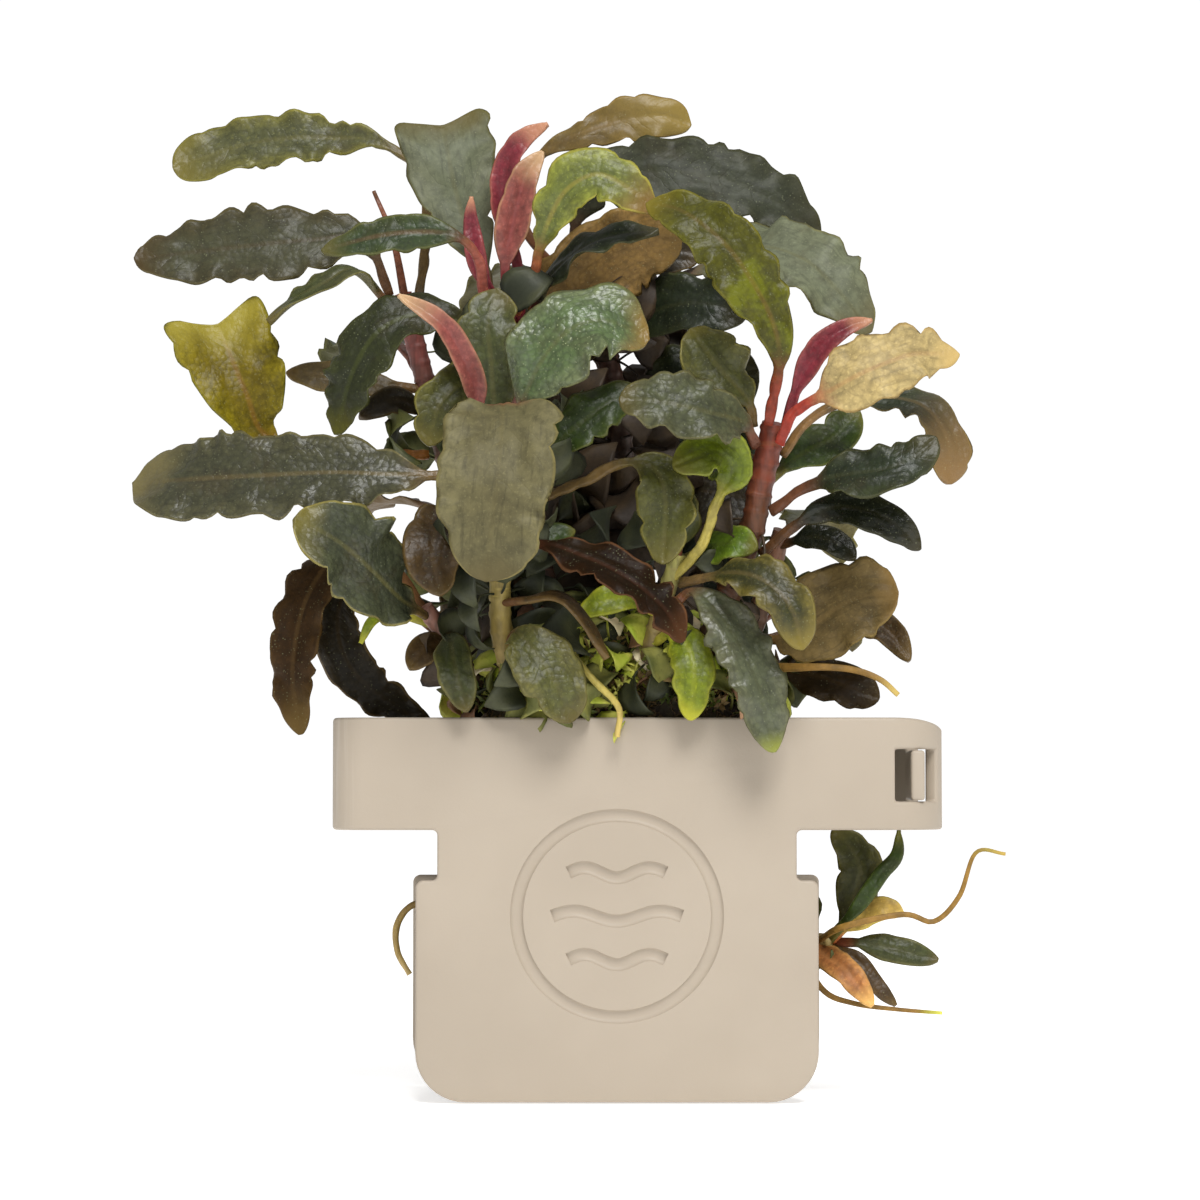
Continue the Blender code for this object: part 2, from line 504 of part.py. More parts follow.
def smooth_path(points, shares):
    """Points at the given shares of the length of a Catmull-Rom curve through the given points."""
    ends = [points[0] * 2 - points[1], *points, points[-1] * 2 - points[-2]]
    fine = []
    for a, b, c, d in zip(ends, ends[1:], ends[2:], ends[3:]):
        for step in range(CURVE_STEPS):
            t = step / CURVE_STEPS
            fine.append(0.5 * (2 * b + (c - a) * t + (2 * a - 5 * b + 4 * c - d) * t ** 2
                               + (3 * b - a - 3 * c + d) * t ** 3))
    fine.append(points[-1])
    lengths = [0.0]
    for before, after in zip(fine, fine[1:]):
        lengths.append(lengths[-1] + (after - before).length)
    path = []
    place = 0
    for share in shares:
        wanted = lengths[-1] * share
        while place < len(fine) - 2 and lengths[place + 1] < wanted:
            place += 1
        part = (wanted - lengths[place]) / (lengths[place + 1] - lengths[place])
        path.append(fine[place].lerp(fine[place + 1], part))
    return path


def even_shares(count):
    return [index / count for index in range(count + 1)]


def way_length(points):
    return sum((after - before).length for before, after in zip(points, points[1:]))


def tangents(path):
    ends = [path[0], *path, path[-1]]
    return [(after - before).normalized() for before, after in zip(ends, ends[2:])]


def loft(rings):
    """Closed body through rings of equally many points."""
    shape = bmesh.new()
    made = [[shape.verts.new(point) for point in ring] for ring in rings]
    for near, far in zip(made, made[1:]):
        for index in range(len(near)):
            after = (index + 1) % len(near)
            shape.faces.new((near[index], near[after], far[after], far[index]))
    shape.faces.new(made[0][::-1])
    shape.faces.new(made[-1])
    return shape


def tube(points, start_radius, end_radius, sides, step):
    """Tube round a smooth path, thinning evenly."""
    count = max(1, round(way_length(points) / step))
    path = smooth_path(points, even_shares(count))
    rings = []
    side = Vector((0, 1, 0))
    for index, (centre, along) in enumerate(zip(path, tangents(path))):
        side = (side - along * side.dot(along)).normalized()
        other = along.cross(side)
        radius = start_radius + (end_radius - start_radius) * index / count
        turns = [2 * math.pi * number / sides for number in range(sides)]
        rings.append([centre + (side * math.cos(turn) + other * math.sin(turn)) * radius for turn in turns])
    return loft(rings)


def stem_at(name, share):
    """Middle, direction and radius of a stem at a share of its length."""
    start_radius, end_radius, way = STEMS[name]
    path = smooth_path([sighted(*place) for place in way], even_shares(STEM_STATIONS))
    index = round(share * STEM_STATIONS)
    return path[index], tangents(path)[index], start_radius + (end_radius - start_radius) * share


def leaf_start(leaf, toward, offset):
    """Point beside the stem, on the side that the leaf leaves from."""
    middle, along, radius = stem_at(leaf.stem, leaf.at)
    out = toward - middle
    out = (out - along * out.dot(along)).normalized()
    return middle + out * (radius + offset)


def facing_at(facings, share):
    """Direction of the upper face at a share of the length."""
    place = share * (len(facings) - 1)
    index = int(place)
    following = min(index + 1, len(facings) - 1)
    return Vector(facings[index]).lerp(Vector(facings[following]), place - index)


def half_width_at(leaf, share):
    """Half of the leaf's width: a thin stalk, then the blade's outline."""
    stalk = PETIOLE_HALF_WIDTH if leaf.width > THREAD_WIDTH else leaf.width / 2
    if share <= leaf.petiole:
        return stalk
    blade = (share - leaf.petiole) / (1 - leaf.petiole)
    widening = math.sin(math.pi / 2 * min(blade / leaf.rise, 1))
    narrowing = max(blade - TIP_FROM, 0) / (1 - TIP_FROM)
    outline = widening * math.sqrt(1 - narrowing ** leaf.tip)
    return max(leaf.width / 2 * outline, stalk * (1 - blade), TIP_HALF_WIDTH)


def horn_reach(leaf, out, share):
    """How far a horned leaf's corners stand out beyond the middle of its tip."""
    return leaf.horns * (2 * out / leaf.width) ** HORN_SPREAD * share ** HORN_LATENESS


def leaf_rings(leaf, points, count):
    """Six-sided rings along the leaf: both margins and the midrib, above and below."""
    shares = [1 - (1 - share) ** TIP_CROWDING for share in even_shares(count)]
    path = smooth_path(points, shares)
    rings = []
    for share, centre, along in zip(shares, path, tangents(path)):
        facing = facing_at(leaf.facings, share)
        across = along.cross(facing).normalized()
        up = across.cross(along)
        half = half_width_at(leaf, share)
        spread = min(half / BLADE_HALF_WIDTH, 1)
        middle_thick = PETIOLE_THICKNESS + (MIDRIB_THICKNESS - PETIOLE_THICKNESS) * spread
        if leaf.width <= THREAD_WIDTH:
            middle_thick = leaf.width * THREAD_THICKNESS
        margin_thick = min(MARGIN_THICKNESS, middle_thick * MARGIN_SHARE)
        ripple = math.sin(2 * math.pi * leaf.waves * share) * leaf.wave
        ahead = along * horn_reach(leaf, half, share)
        left = centre + across * half + up * half * (leaf.fold + ripple) + ahead
        right = centre - across * half + up * half * (leaf.fold - ripple) + ahead
        rings.append([
            left + up * margin_thick / 2, centre + up * middle_thick / 2, right + up * margin_thick / 2,
            right - up * margin_thick / 2, centre - up * middle_thick / 2, left - up * margin_thick / 2])
    return rings


def leaf_shape(leaf, offset):
    """Solid of one leaf, starting offset off its stem's side."""
    way = [sighted(*place) for place in leaf.path]
    points = [leaf_start(leaf, way[0], offset), *way]
    return loft(leaf_rings(leaf, points, max(LEAST_SEGMENTS, round(way_length(points) / SEGMENT_LENGTH))))


def back_leaf(stem, at, turn, rise, length, width, colour):
    """Leaf that arches away behind its stem: its way is worked out from its turn and its rise."""
    middle, _, _ = stem_at(stem, at)
    heading = Vector((math.sin(math.radians(turn)), math.cos(math.radians(turn)), 0))
    slope = math.tan(math.radians(rise))
    way = []
    for share in BACK_LEAF_SHARES:
        out = length * share
        height = slope * out * (1 - BACK_LEAF_DROOP * share) - BACK_LEAF_TIP_DROP * length * share ** 3
        way.append(middle + heading * out + Vector((0, 0, height)))
    upper = tuple(Vector((0, 0, 1)) - heading * BACK_LEAF_LEAN)
    return Leaf(stem, at, tuple(way), width, colour, (upper,), BACK_LEAF_PETIOLE)


def build_back_leaves():
    for number, row in enumerate(BACK_LEAVES, 1):
        leaf = back_leaf(*row)
        start = leaf_start(leaf, leaf.path[0], GAP + PETIOLE_THICKNESS / 2)
        points = [start, *leaf.path]
        shape = loft(leaf_rings(leaf, points, BACK_LEAF_SEGMENTS))
        add_object(f"leaf_back_{number}", shape, leaf.colour)


def build_leaves():
    for name, leaf in LEAVES.items():
        add_object(name, leaf_shape(leaf, GAP + PETIOLE_THICKNESS / 2), leaf.colour)


def build_stems():
    """Stems, each one with its twigs. Returns cutters for their sockets in the root ball."""
    sockets = []
    for name, (start_radius, end_radius, way) in STEMS.items():
        points = [sighted(*place) for place in way]
        shape = tube(points, start_radius, end_radius, STEM_SIDES, STEM_SEGMENT)
        stem = add_object(name, shape, "stem_brown")
        for number, twig in enumerate(TWIGS.get(name, ()), 1):
            guide = add_object(f"{name}_twig_{number}", leaf_shape(twig, -TWIG_INSET), twig.colour)
            combine(stem, guide, "UNION")
        foot = points[0] - (points[1] - points[0]).normalized() * GAP
        bore = start_radius + 2 * GAP
        socket = tube([foot, points[1]], bore, bore, STEM_SIDES, (points[1] - foot).length)
        sockets.append(add_object(f"{name}_socket", socket, "root_brown"))
    return sockets


def build_root_ball(sockets):
    """Lump of roots and moss: rings with squared corners, roughened, with the stems' sockets cut in."""
    rings = []
    for height, half_width, share in BALL_LEVELS:
        half_depth = BALL_HALF_DEPTH * share
        ring = []
        for number in range(BALL_SIDES):
            turn = 2 * math.pi * number / BALL_SIDES
            x = math.copysign(abs(math.cos(turn)) ** BALL_SQUARENESS, math.cos(turn)) * half_width
            y = math.copysign(abs(math.sin(turn)) ** BALL_SQUARENESS, math.sin(turn)) * half_depth
            dent = BALL_ROUGHNESS * (0.5 + 0.5 * noise.noise(Vector((x, y, height)) * BALL_GRAIN))
            inward = Vector((x, y, 0)).normalized() * dent
            ring.append(Vector((x, BALL_Y + y, height)) - inward)
        rings.append(ring)
    ball = add_object("root_ball", loft(rings), "root_brown", 0.9)
    for socket in sockets:
        combine(ball, socket, "DIFFERENCE")


def build_roots():
    for name, (start_radius, end_radius, way) in ROOTS.items():
        points = [sighted(*place) for place in way]
        add_object(name, tube(points, start_radius, end_radius, ROOT_SIDES, ROOT_SEGMENT), "tan_root", 0.6)


def corner_arc(before, corner, after, radius):
    """Points of a round corner between two straight edges."""
    back = (before - corner).normalized()
    ahead = (after - corner).normalized()
    half_angle = back.angle(ahead) / 2
    reach = radius / math.tan(half_angle)
    middle = corner + (back + ahead).normalized() * radius / math.sin(half_angle)
    first = corner + back * reach - middle
    last = corner + ahead * reach - middle
    turn = first.angle(last)
    points = []
    for step in range(CORNER_STEPS + 1):
        share = step / CORNER_STEPS
        points.append(middle + (first * math.sin((1 - share) * turn) + last * math.sin(share * turn))
                      / math.sin(turn))
    return points


def panel_outline(plate_half):
    """Outline of a plate and its stretch of the band, as (x, z), with its corners rounded."""
    right = [
        (plate_half, 0, FOOT_RADIUS), (plate_half, PLATE_SHOULDER, SHOULDER_RADIUS),
        (NECK_HALF, PLATE_SHOULDER, NECK_RADIUS), (NECK_HALF, BAND_BOTTOM, NECK_RADIUS),
        (PANEL_HALF, BAND_BOTTOM, 0), (PANEL_HALF, WINDOW_BOTTOM, 0), (PANEL_HALF, WINDOW_TOP, 0),
        (PANEL_HALF, BAND_TOP, 0)]
    corners = right + [(-x, z, radius) for x, z, radius in reversed(right)]
    outline = []
    for index, (x, z, radius) in enumerate(corners):
        corner = Vector((x, z))
        if radius == 0:
            outline.append(corner)
            continue
        before = Vector(corners[index - 1][:2])
        after = Vector(corners[(index + 1) % len(corners)][:2])
        outline.extend(corner_arc(before, corner, after, radius))
    return outline


def arc_points(middle, radius, first, last):
    """Plan points along an arc, from one angle to another, in degrees."""
    points = []
    for step in range(TURN_STEPS + 1):
        angle = math.radians(first + (last - first) * step / TURN_STEPS)
        points.append((middle[0] + radius * math.cos(angle), middle[1] + radius * math.sin(angle)))
    return points


def ribbon(shape, column, plan, heights, skip=()):
    """Strip of the band on from a column of vertices; skip names (column, row) cells left open."""
    for number, ((x, y), levels) in enumerate(zip(plan, heights)):
        new = [shape.verts.new((x, y, z)) if z is not None else None for z in levels]
        for row in range(len(new) - 1):
            corners = (column[row], new[row], new[row + 1], column[row + 1])
            if (number, row) in skip or None in corners:
                continue
            shape.faces.new(corners)
        column = new
    return column


def panel(shape, y, plate_half):
    """Flat face of one plate. Returns its right and left end columns of vertices."""
    made = [shape.verts.new((point.x, y, point.y)) for point in panel_outline(plate_half)]
    shape.faces.new(made)
    ends = []
    for side in (PANEL_HALF, -PANEL_HALF):
        column = [vert for vert in made if abs(vert.co.x - side) < SAME_PLACE]
        ends.append(sorted(column, key=lambda vert: vert.co.z))
    return ends


def holder_sheet():
    """Middle surface of the holder, later given its thickness."""
    shape = bmesh.new()
    front_right, front_left = panel(shape, FRONT_Y, PLATE_HALF)
    back_right, back_left = panel(shape, BACK_Y, PLATE_HALF + BACK_PLATE_EXTRA)
    levels = (BAND_BOTTOM, WINDOW_BOTTOM, WINDOW_TOP, BAND_TOP)

    heights = []
    for number in range(len(FLAP_PLAN)):
        drop = FLAP_DROP * (number / (len(FLAP_PLAN) - 1)) ** 2
        heights.append((BAND_BOTTOM, WINDOW_BOTTOM, WINDOW_TOP, BAND_TOP - drop))
    ribbon(shape, front_right, FLAP_PLAN, heights, skip=WINDOW_CELLS)

    fold = arc_points(FOLD_MIDDLE, FOLD_RADIUS, 270, 184)[1:]
    wall_turn = arc_points(LEFT_TURN_MIDDLE, LEFT_TURN_RADIUS, 176, 90)
    left_plan = [*fold, LEFT_WALL, *wall_turn]
    last = ribbon(shape, front_left, left_plan, [levels] * len(left_plan))
    for row in range(len(levels) - 1):
        shape.faces.new((last[row], back_left[row], back_left[row + 1], last[row + 1]))

    arm = [*arc_points(ARM_TURN_MIDDLE, ARM_TURN_RADIUS, 90, 8), *ARM_PLAN]
    column = ribbon(shape, back_right, arm, [levels] * len(arm))
    narrow = (None, TONGUE_BOTTOM, TONGUE_TOP, None)
    ribbon(shape, column, TONGUE_PLAN, [narrow] * len(TONGUE_PLAN))
    bmesh.ops.remove_doubles(shape, verts=shape.verts, dist=SAME_PLACE)
    return shape


def stroke(points, width, front, depth):
    """Body of a line of even width, drawn on the plane y = front and sunk by depth."""
    rings = []
    for index, point in enumerate(points):
        before = points[max(index - 1, 0)]
        after = points[min(index + 1, len(points) - 1)]
        along = (after - before).normalized()
        side = Vector((-along.y, along.x)) * width / 2
        low, high = point - side, point + side
        rings.append([
            Vector((low.x, front - CUTTER_REACH, low.y)), Vector((high.x, front - CUTTER_REACH, high.y)),
            Vector((high.x, front + depth, high.y)), Vector((low.x, front + depth, low.y))])
    return rings


def ring_cutter():
    """Closed ring of square section for the figure's rim."""
    shape = bmesh.new()
    section = ((-0.5, -CUTTER_REACH), (0.5, -CUTTER_REACH), (0.5, FIGURE_DEPTH), (-0.5, FIGURE_DEPTH))
    columns = []
    for number in range(RING_SIDES):
        turn = 2 * math.pi * number / RING_SIDES
        column = []
        for side, y in section:
            reach = FIGURE_RADIUS + side * FIGURE_LINE
            column.append(shape.verts.new((reach * math.cos(turn), FRONT_FACE_Y + y,
                                           FIGURE_Z + reach * math.sin(turn))))
        columns.append(column)
    for number, column in enumerate(columns):
        after = columns[(number + 1) % RING_SIDES]
        for corner in range(len(section)):
            following = (corner + 1) % len(section)
            shape.faces.new((column[corner], column[following], after[following], after[corner]))
    return shape


def ripple_points(half_width, height):
    """Points of one ripple, a wave of three half turns."""
    points = []
    for step in range(RIPPLE_STEPS + 1):
        share = step / RIPPLE_STEPS
        x = half_width * (2 * share - 1)
        points.append(Vector((x, height + RIPPLE_RISE / 2 * math.sin(3 * math.pi * share))))
    return points


def build_holder():
    holder = add_object("holder", holder_sheet(), "beige", 0.5)
    thickness = holder.modifiers.new("Thickness", "SOLIDIFY")
    thickness.thickness = WALL * MM
    thickness.offset = 0
    thickness.use_even_offset = True
    rounding = holder.modifiers.new("Rounding", "BEVEL")
    rounding.width = EDGE_ROUNDING * MM
    rounding.segments = 1
    rounding.limit_method = "ANGLE"
    rounding.angle_limit = math.radians(SHARP_EDGE_DEGREES)
    combine(holder, add_object("figure_ring", ring_cutter(), "beige"), "DIFFERENCE")
    for number, half_width in enumerate(RIPPLE_HALF_WIDTHS):
        height = FIGURE_Z + (number - 1) * RIPPLE_SPACING
        shape = loft(stroke(ripple_points(half_width, height), FIGURE_LINE, FRONT_FACE_Y, FIGURE_DEPTH))
        combine(holder, add_object(f"figure_ripple_{number + 1}", shape, "beige"), "DIFFERENCE")


def main():
    clear_scene()
    build_holder()
    sockets = build_stems()
    build_root_ball(sockets)
    build_roots()
    build_leaves()
    build_back_leaves()


main()
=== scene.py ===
# %% [markdown]
# # A bucephalandra in its clip-on holder
#
# Bucephalandra is a small aquarium plant with leathery, wavy leaves. This one grows out of a lump of roots
# and moss that is held between the plates of a folded plastic holder. The plain solids of the holder, the
# stems and the leaves are already there. Here they get the fine shapes and the finishes of the real ones.
#
# First the solids are loaded. They stay where they are, and everything that follows is placed by them.

# %% Load the solids
import json
import math
from dataclasses import dataclass, replace

import bmesh
import bpy
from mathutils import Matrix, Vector, noise

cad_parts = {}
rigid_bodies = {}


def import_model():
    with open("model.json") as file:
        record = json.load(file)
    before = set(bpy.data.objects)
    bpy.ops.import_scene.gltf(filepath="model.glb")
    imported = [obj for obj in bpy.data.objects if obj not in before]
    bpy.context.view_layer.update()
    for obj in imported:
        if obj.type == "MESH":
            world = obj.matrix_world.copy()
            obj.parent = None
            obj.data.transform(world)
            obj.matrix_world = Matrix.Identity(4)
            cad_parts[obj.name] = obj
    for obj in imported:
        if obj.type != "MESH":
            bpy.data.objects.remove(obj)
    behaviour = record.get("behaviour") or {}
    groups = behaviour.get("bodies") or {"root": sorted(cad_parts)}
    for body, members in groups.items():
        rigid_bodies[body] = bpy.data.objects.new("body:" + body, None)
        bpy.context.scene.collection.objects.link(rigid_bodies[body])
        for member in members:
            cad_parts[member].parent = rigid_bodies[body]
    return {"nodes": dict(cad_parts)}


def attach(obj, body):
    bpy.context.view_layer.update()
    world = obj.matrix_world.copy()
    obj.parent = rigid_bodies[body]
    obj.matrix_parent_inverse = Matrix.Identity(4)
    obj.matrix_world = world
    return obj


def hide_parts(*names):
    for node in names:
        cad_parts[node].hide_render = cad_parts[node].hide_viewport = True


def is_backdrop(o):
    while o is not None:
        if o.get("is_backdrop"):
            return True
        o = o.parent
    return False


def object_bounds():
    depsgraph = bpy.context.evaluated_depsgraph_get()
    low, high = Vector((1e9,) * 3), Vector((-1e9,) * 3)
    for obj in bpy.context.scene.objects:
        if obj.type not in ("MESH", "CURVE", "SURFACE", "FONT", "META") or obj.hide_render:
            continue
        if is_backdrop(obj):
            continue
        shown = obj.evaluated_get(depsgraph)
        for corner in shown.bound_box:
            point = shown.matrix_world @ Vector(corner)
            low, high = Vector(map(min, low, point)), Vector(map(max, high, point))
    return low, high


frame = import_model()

CAD_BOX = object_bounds()
MM = 0.001
print("solids", len(frame["nodes"]), "from", tuple(CAD_BOX[0]), "to", tuple(CAD_BOX[1]))

# %% [markdown]
# ## Places as they are sighted
#
# The plant is described the way a painter would measure it: from one eye point in front of it. A place is
# (x, z) on the plane of the holder's front face, in millimetres, and a depth behind that plane. The farther
# back a thing is, the larger it must be to look the same, so the two measures grow with the depth.

# %% Eye point and camera
EYE_X = -2.2
EYE_Z = 42.0
EYE_DISTANCE = 450.0
WALL = 1.8
FRONT_FACE_Y = -WALL / 2
AIM_Z = 65.0
LENS = 104
SENSOR_WIDTH = 36
NEAREST = 0.01


def sighted(x, z, depth):
    """Place in millimetres of what is seen at (x, z) and lies depth behind the front face."""
    growth = 1 + depth / EYE_DISTANCE
    return Vector((EYE_X + (x - EYE_X) * growth, FRONT_FACE_Y + depth, EYE_Z + (z - EYE_Z) * growth))


camera = bpy.data.objects.new("camera", bpy.data.cameras.new("camera"))
bpy.context.scene.collection.objects.link(camera)
camera.location = Vector((EYE_X, FRONT_FACE_Y - EYE_DISTANCE, EYE_Z)) * MM
sight_line = Vector((EYE_X, 0, AIM_Z)) * MM - camera.location
camera.rotation_euler = sight_line.to_track_quat("-Z", "Y").to_euler()
camera.data.lens = LENS
camera.data.sensor_width = SENSOR_WIDTH
camera.data.clip_start = NEAREST
bpy.context.scene.camera = camera
print("camera at", tuple(round(value, 4) for value in camera.location))

# %% [markdown]
# ## Writing nodes as sums
#
# A finish is a net of nodes. Wiring it by hand in code is long and hard to read, so a small class wraps an
# output socket and lets Python's own operators add the Math nodes: 1 - mask is then one short expression.
# The other nodes all come from one method, which takes the node's type, its settings and its sockets. The
# same class serves the finishes and the Geometry Nodes trees, since both know the Math node.

# %% Signals and graphs
class Signal:
    """A number that changes over a surface."""

    def __init__(self, graph, socket):
        self.graph = graph
        self.socket = socket

    def math(self, operation, *others):
        """Math node of this signal and up to two others."""
        values = {"Value": self}
        for name, other in zip(("Value_001", "Value_002"), others):
            values[name] = other
        node = self.graph.add("ShaderNodeMath", values, operation=operation)
        return Signal(self.graph, node.outputs[0])

    def __add__(self, other):
        return self.math("ADD", other)

    __radd__ = __add__

    def __sub__(self, other):
        return self.math("SUBTRACT", other)

    def __rsub__(self, other):
        return self.math("MULTIPLY_ADD", -1.0, other)

    def __mul__(self, other):
        return self.math("MULTIPLY", other)

    __rmul__ = __mul__

    def __truediv__(self, other):
        return self.math("DIVIDE", other)

    def __pow__(self, other):
        return self.math("POWER", other)

    def __abs__(self):
        return self.math("ABSOLUTE")

    def sine(self):
        return self.math("SINE")

    def rise(self, low, high):
        """0 below low, 1 above high, and a smooth rise between them."""
        node = self.graph.add("ShaderNodeMapRange", {"Value": self, "From Min": low, "From Max": high},
                              interpolation_type="SMOOTHSTEP")
        return Signal(self.graph, node.outputs["Result"])


class Graph:
    """A node tree that is built by code."""

    def __init__(self, tree):
        self.tree = tree
        tree.nodes.clear()

    def add(self, kind, sockets=None, **settings):
        """Node of a kind, with its settings made and its sockets fed."""
        node = self.tree.nodes.new(kind)
        for name, value in settings.items():
            setattr(node, name, value)
        for name, value in (sockets or {}).items():
            self.feed(node, name, value)
        return node

    def feed(self, node, name, value):
        """Link a signal or a socket to a node's input, or set the input to a plain value."""
        named = [socket for socket in node.inputs if socket.identifier == name]
        target = (named or [socket for socket in node.inputs if socket.name == name])[0]
        source = value.socket if isinstance(value, Signal) else value
        if isinstance(source, bpy.types.NodeSocket):
            self.tree.links.new(source, target)
        else:
            target.default_value = source

    def signal(self, kind, output, sockets=None, **settings):
        return Signal(self, self.add(kind, sockets, **settings).outputs[output])


def linear(value):
    """Linear share of an 8-bit display value."""
    share = value / 255
    return share / 12.92 if share <= 0.04045 else ((share + 0.055) / 1.055) ** 2.4


def tone(colour):
    """Linear colour of three 8-bit display values."""
    return (*(linear(part) for part in colour), 1.0)


# %% [markdown]
# ## A finish
#
# Every finish here ends in one Principled surface. The class keeps that surface and the few things that all
# finishes use: noise in Object coordinates, which stay put on a piece however it is seen, a mix of two
# colours, and a stack of bumps that ends at the surface's normal.

# %% Finishes
class Finish(Graph):
    """A material whose nodes end in one Principled surface."""

    def __init__(self, name, **plain):
        self.material = bpy.data.materials.new(name)
        self.material.use_nodes = True
        super().__init__(self.material.node_tree)
        self.surface = self.add("ShaderNodeBsdfPrincipled", plain)
        output = self.add("ShaderNodeOutputMaterial")
        self.tree.links.new(self.surface.outputs["BSDF"], output.inputs["Surface"])
        self.place = self.add("ShaderNodeTexCoord").outputs["Object"]
        self.bump = None

    def noise(self, scale, detail=3.0, stretch=(1.0, 1.0, 1.0), roughness=0.5):
        """Noise from 0 to 1; scale counts its lumps in a metre."""
        place = self.add("ShaderNodeMapping", {"Vector": self.place, "Scale": stretch})
        return self.signal("ShaderNodeTexNoise", "Fac", {
            "Vector": place.outputs[0], "Scale": scale, "Detail": detail, "Roughness": roughness})

    def cells(self, scale):
        """How far the middle of the nearest cell lies; scale counts the cells in a metre."""
        return self.signal("ShaderNodeTexVoronoi", "Distance", {"Vector": self.place, "Scale": scale})

    def attribute(self, name):
        """The three numbers of a point attribute."""
        node = self.add("ShaderNodeAttribute", attribute_name=name)
        split = self.add("ShaderNodeSeparateXYZ", {"Vector": node.outputs["Vector"]})
        return [Signal(self, socket) for socket in split.outputs]

    def coordinates(self):
        split = self.add("ShaderNodeSeparateXYZ", {"Vector": self.place})
        return [Signal(self, socket) for socket in split.outputs]

    def mix(self, share, first, second):
        """From the first colour to the second as share goes from 0 to 1."""
        colours = [tone(colour) if isinstance(colour, tuple) else colour for colour in (first, second)]
        node = self.add("ShaderNodeMix", {
            "Factor_Float": share, "A_Color": colours[0], "B_Color": colours[1]}, data_type="RGBA")
        return node.outputs[2]

    def raise_by(self, height, distance, strength=1.0):
        """Bump: height from 0 to 1 stands for a rise of distance millimetres."""
        sockets = {"Height": height, "Distance": distance * MM, "Strength": strength}
        if self.bump is not None:
            sockets["Normal"] = self.bump
        self.bump = self.add("ShaderNodeBump", sockets).outputs["Normal"]

    def close(self, colour, roughness):
        """Feed the surface and return the material."""
        self.feed(self.surface, "Base Color", colour)
        self.feed(self.surface, "Roughness", roughness)
        if self.bump is not None:
            self.feed(self.surface, "Normal", self.bump)
        return self.material


# %% [markdown]
# ## Smooth ways and tubes
#
# Stems, stalks, roots and leaves all follow a way through a few points. A Catmull-Rom curve passes through
# every one of them, which makes it easy to say where a leaf goes: the points are read off, and the curve
# fills in the rest. Points at even shares of its length then carry the rings of the mesh.

# %% Ways
CURVE_STEPS = 16


def smooth_path(points, shares):
    """Points at the given shares of the length of a Catmull-Rom curve through the given points."""
    ends = [points[0] * 2 - points[1], *points, points[-1] * 2 - points[-2]]
    fine = []
    for a, b, c, d in zip(ends, ends[1:], ends[2:], ends[3:]):
        for step in range(CURVE_STEPS):
            t = step / CURVE_STEPS
            fine.append(0.5 * (2 * b + (c - a) * t + (2 * a - 5 * b + 4 * c - d) * t ** 2
                               + (3 * b - a - 3 * c + d) * t ** 3))
    fine.append(points[-1])
    lengths = [0.0]
    for before, after in zip(fine, fine[1:]):
        lengths.append(lengths[-1] + (after - before).length)
    path = []
    place = 0
    for share in shares:
        wanted = lengths[-1] * share
        while place < len(fine) - 2 and lengths[place + 1] < wanted:
            place += 1
        part = (wanted - lengths[place]) / (lengths[place + 1] - lengths[place])
        path.append(fine[place].lerp(fine[place + 1], part))
    return path


def even_shares(count):
    """Shares from 0 to 1 in count even steps."""
    return [index / count for index in range(count + 1)]


def way_length(points):
    return sum((after - before).length for before, after in zip(points, points[1:]))


def tangents(path):
    """Direction of a path at each of its points."""
    ends = [path[0], *path, path[-1]]
    return [(after - before).normalized() for before, after in zip(ends, ends[2:])]


# %% Rings, meshes and pieces
def skin(shape, rings, closed=False):
    """Faces between rings of vertices that follow each other, and back to the first ring if closed."""
    following = rings[1:] + rings[:1] if closed else rings[1:]
    for near, far in zip(rings, following):
        for index in range(len(near)):
            after = (index + 1) % len(near)
            shape.faces.new((near[index], near[after], far[after], far[index]))


def close_flat(shape, rings):
    """One flat face over each end of a skin."""
    shape.faces.new(rings[0][::-1])
    shape.faces.new(rings[-1])


def close_round(shape, rings):
    """A fan of faces over each end of a skin. Returns the middle vertices of the two fans."""
    middles = []
    for ring in (rings[0][::-1], rings[-1]):
        middle = shape.verts.new(sum((vert.co for vert in ring), Vector()) / len(ring))
        for index in range(len(ring)):
            shape.faces.new((ring[index], ring[(index + 1) % len(ring)], middle))
        middles.append(middle)
    return middles


def add_piece(name, mesh, *materials, slot=None, node=None):
    """Put a mesh, already in metres, into the scene as a piece that rides with the plant."""
    for material in materials:
        mesh.materials.append(material)
    piece = bpy.data.objects.new(name, mesh)
    bpy.context.scene.collection.objects.link(piece)
    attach(piece, "root")
    if node:
        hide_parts(node)
    return piece


def mesh_from(shape, name, smooth=False):
    """Mesh in metres from a bmesh in millimetres, whose faces are made to point outwards."""
    bmesh.ops.recalc_face_normals(shape, faces=shape.faces)
    bmesh.ops.scale(shape, vec=(MM, MM, MM), verts=shape.verts)
    mesh = bpy.data.meshes.new(name)
    shape.to_mesh(mesh)
    shape.free()
    if smooth:
        mesh.shade_smooth()
    return mesh


def baked(source, name):
    """Plain mesh of what an object's modifiers make. The object itself is removed."""
    bpy.context.view_layer.update()
    graph = bpy.context.evaluated_depsgraph_get()
    shown = source.evaluated_get(graph)
    mesh = bpy.data.meshes.new_from_object(shown, preserve_all_data_layers=True, depsgraph=graph)
    mesh.name = name
    bpy.data.objects.remove(source, do_unlink=True)
    return mesh


def as_source(name, mesh):
    """Object that only carries a mesh to its modifiers."""
    source = bpy.data.objects.new(name, mesh)
    bpy.context.scene.collection.objects.link(source)
    return source


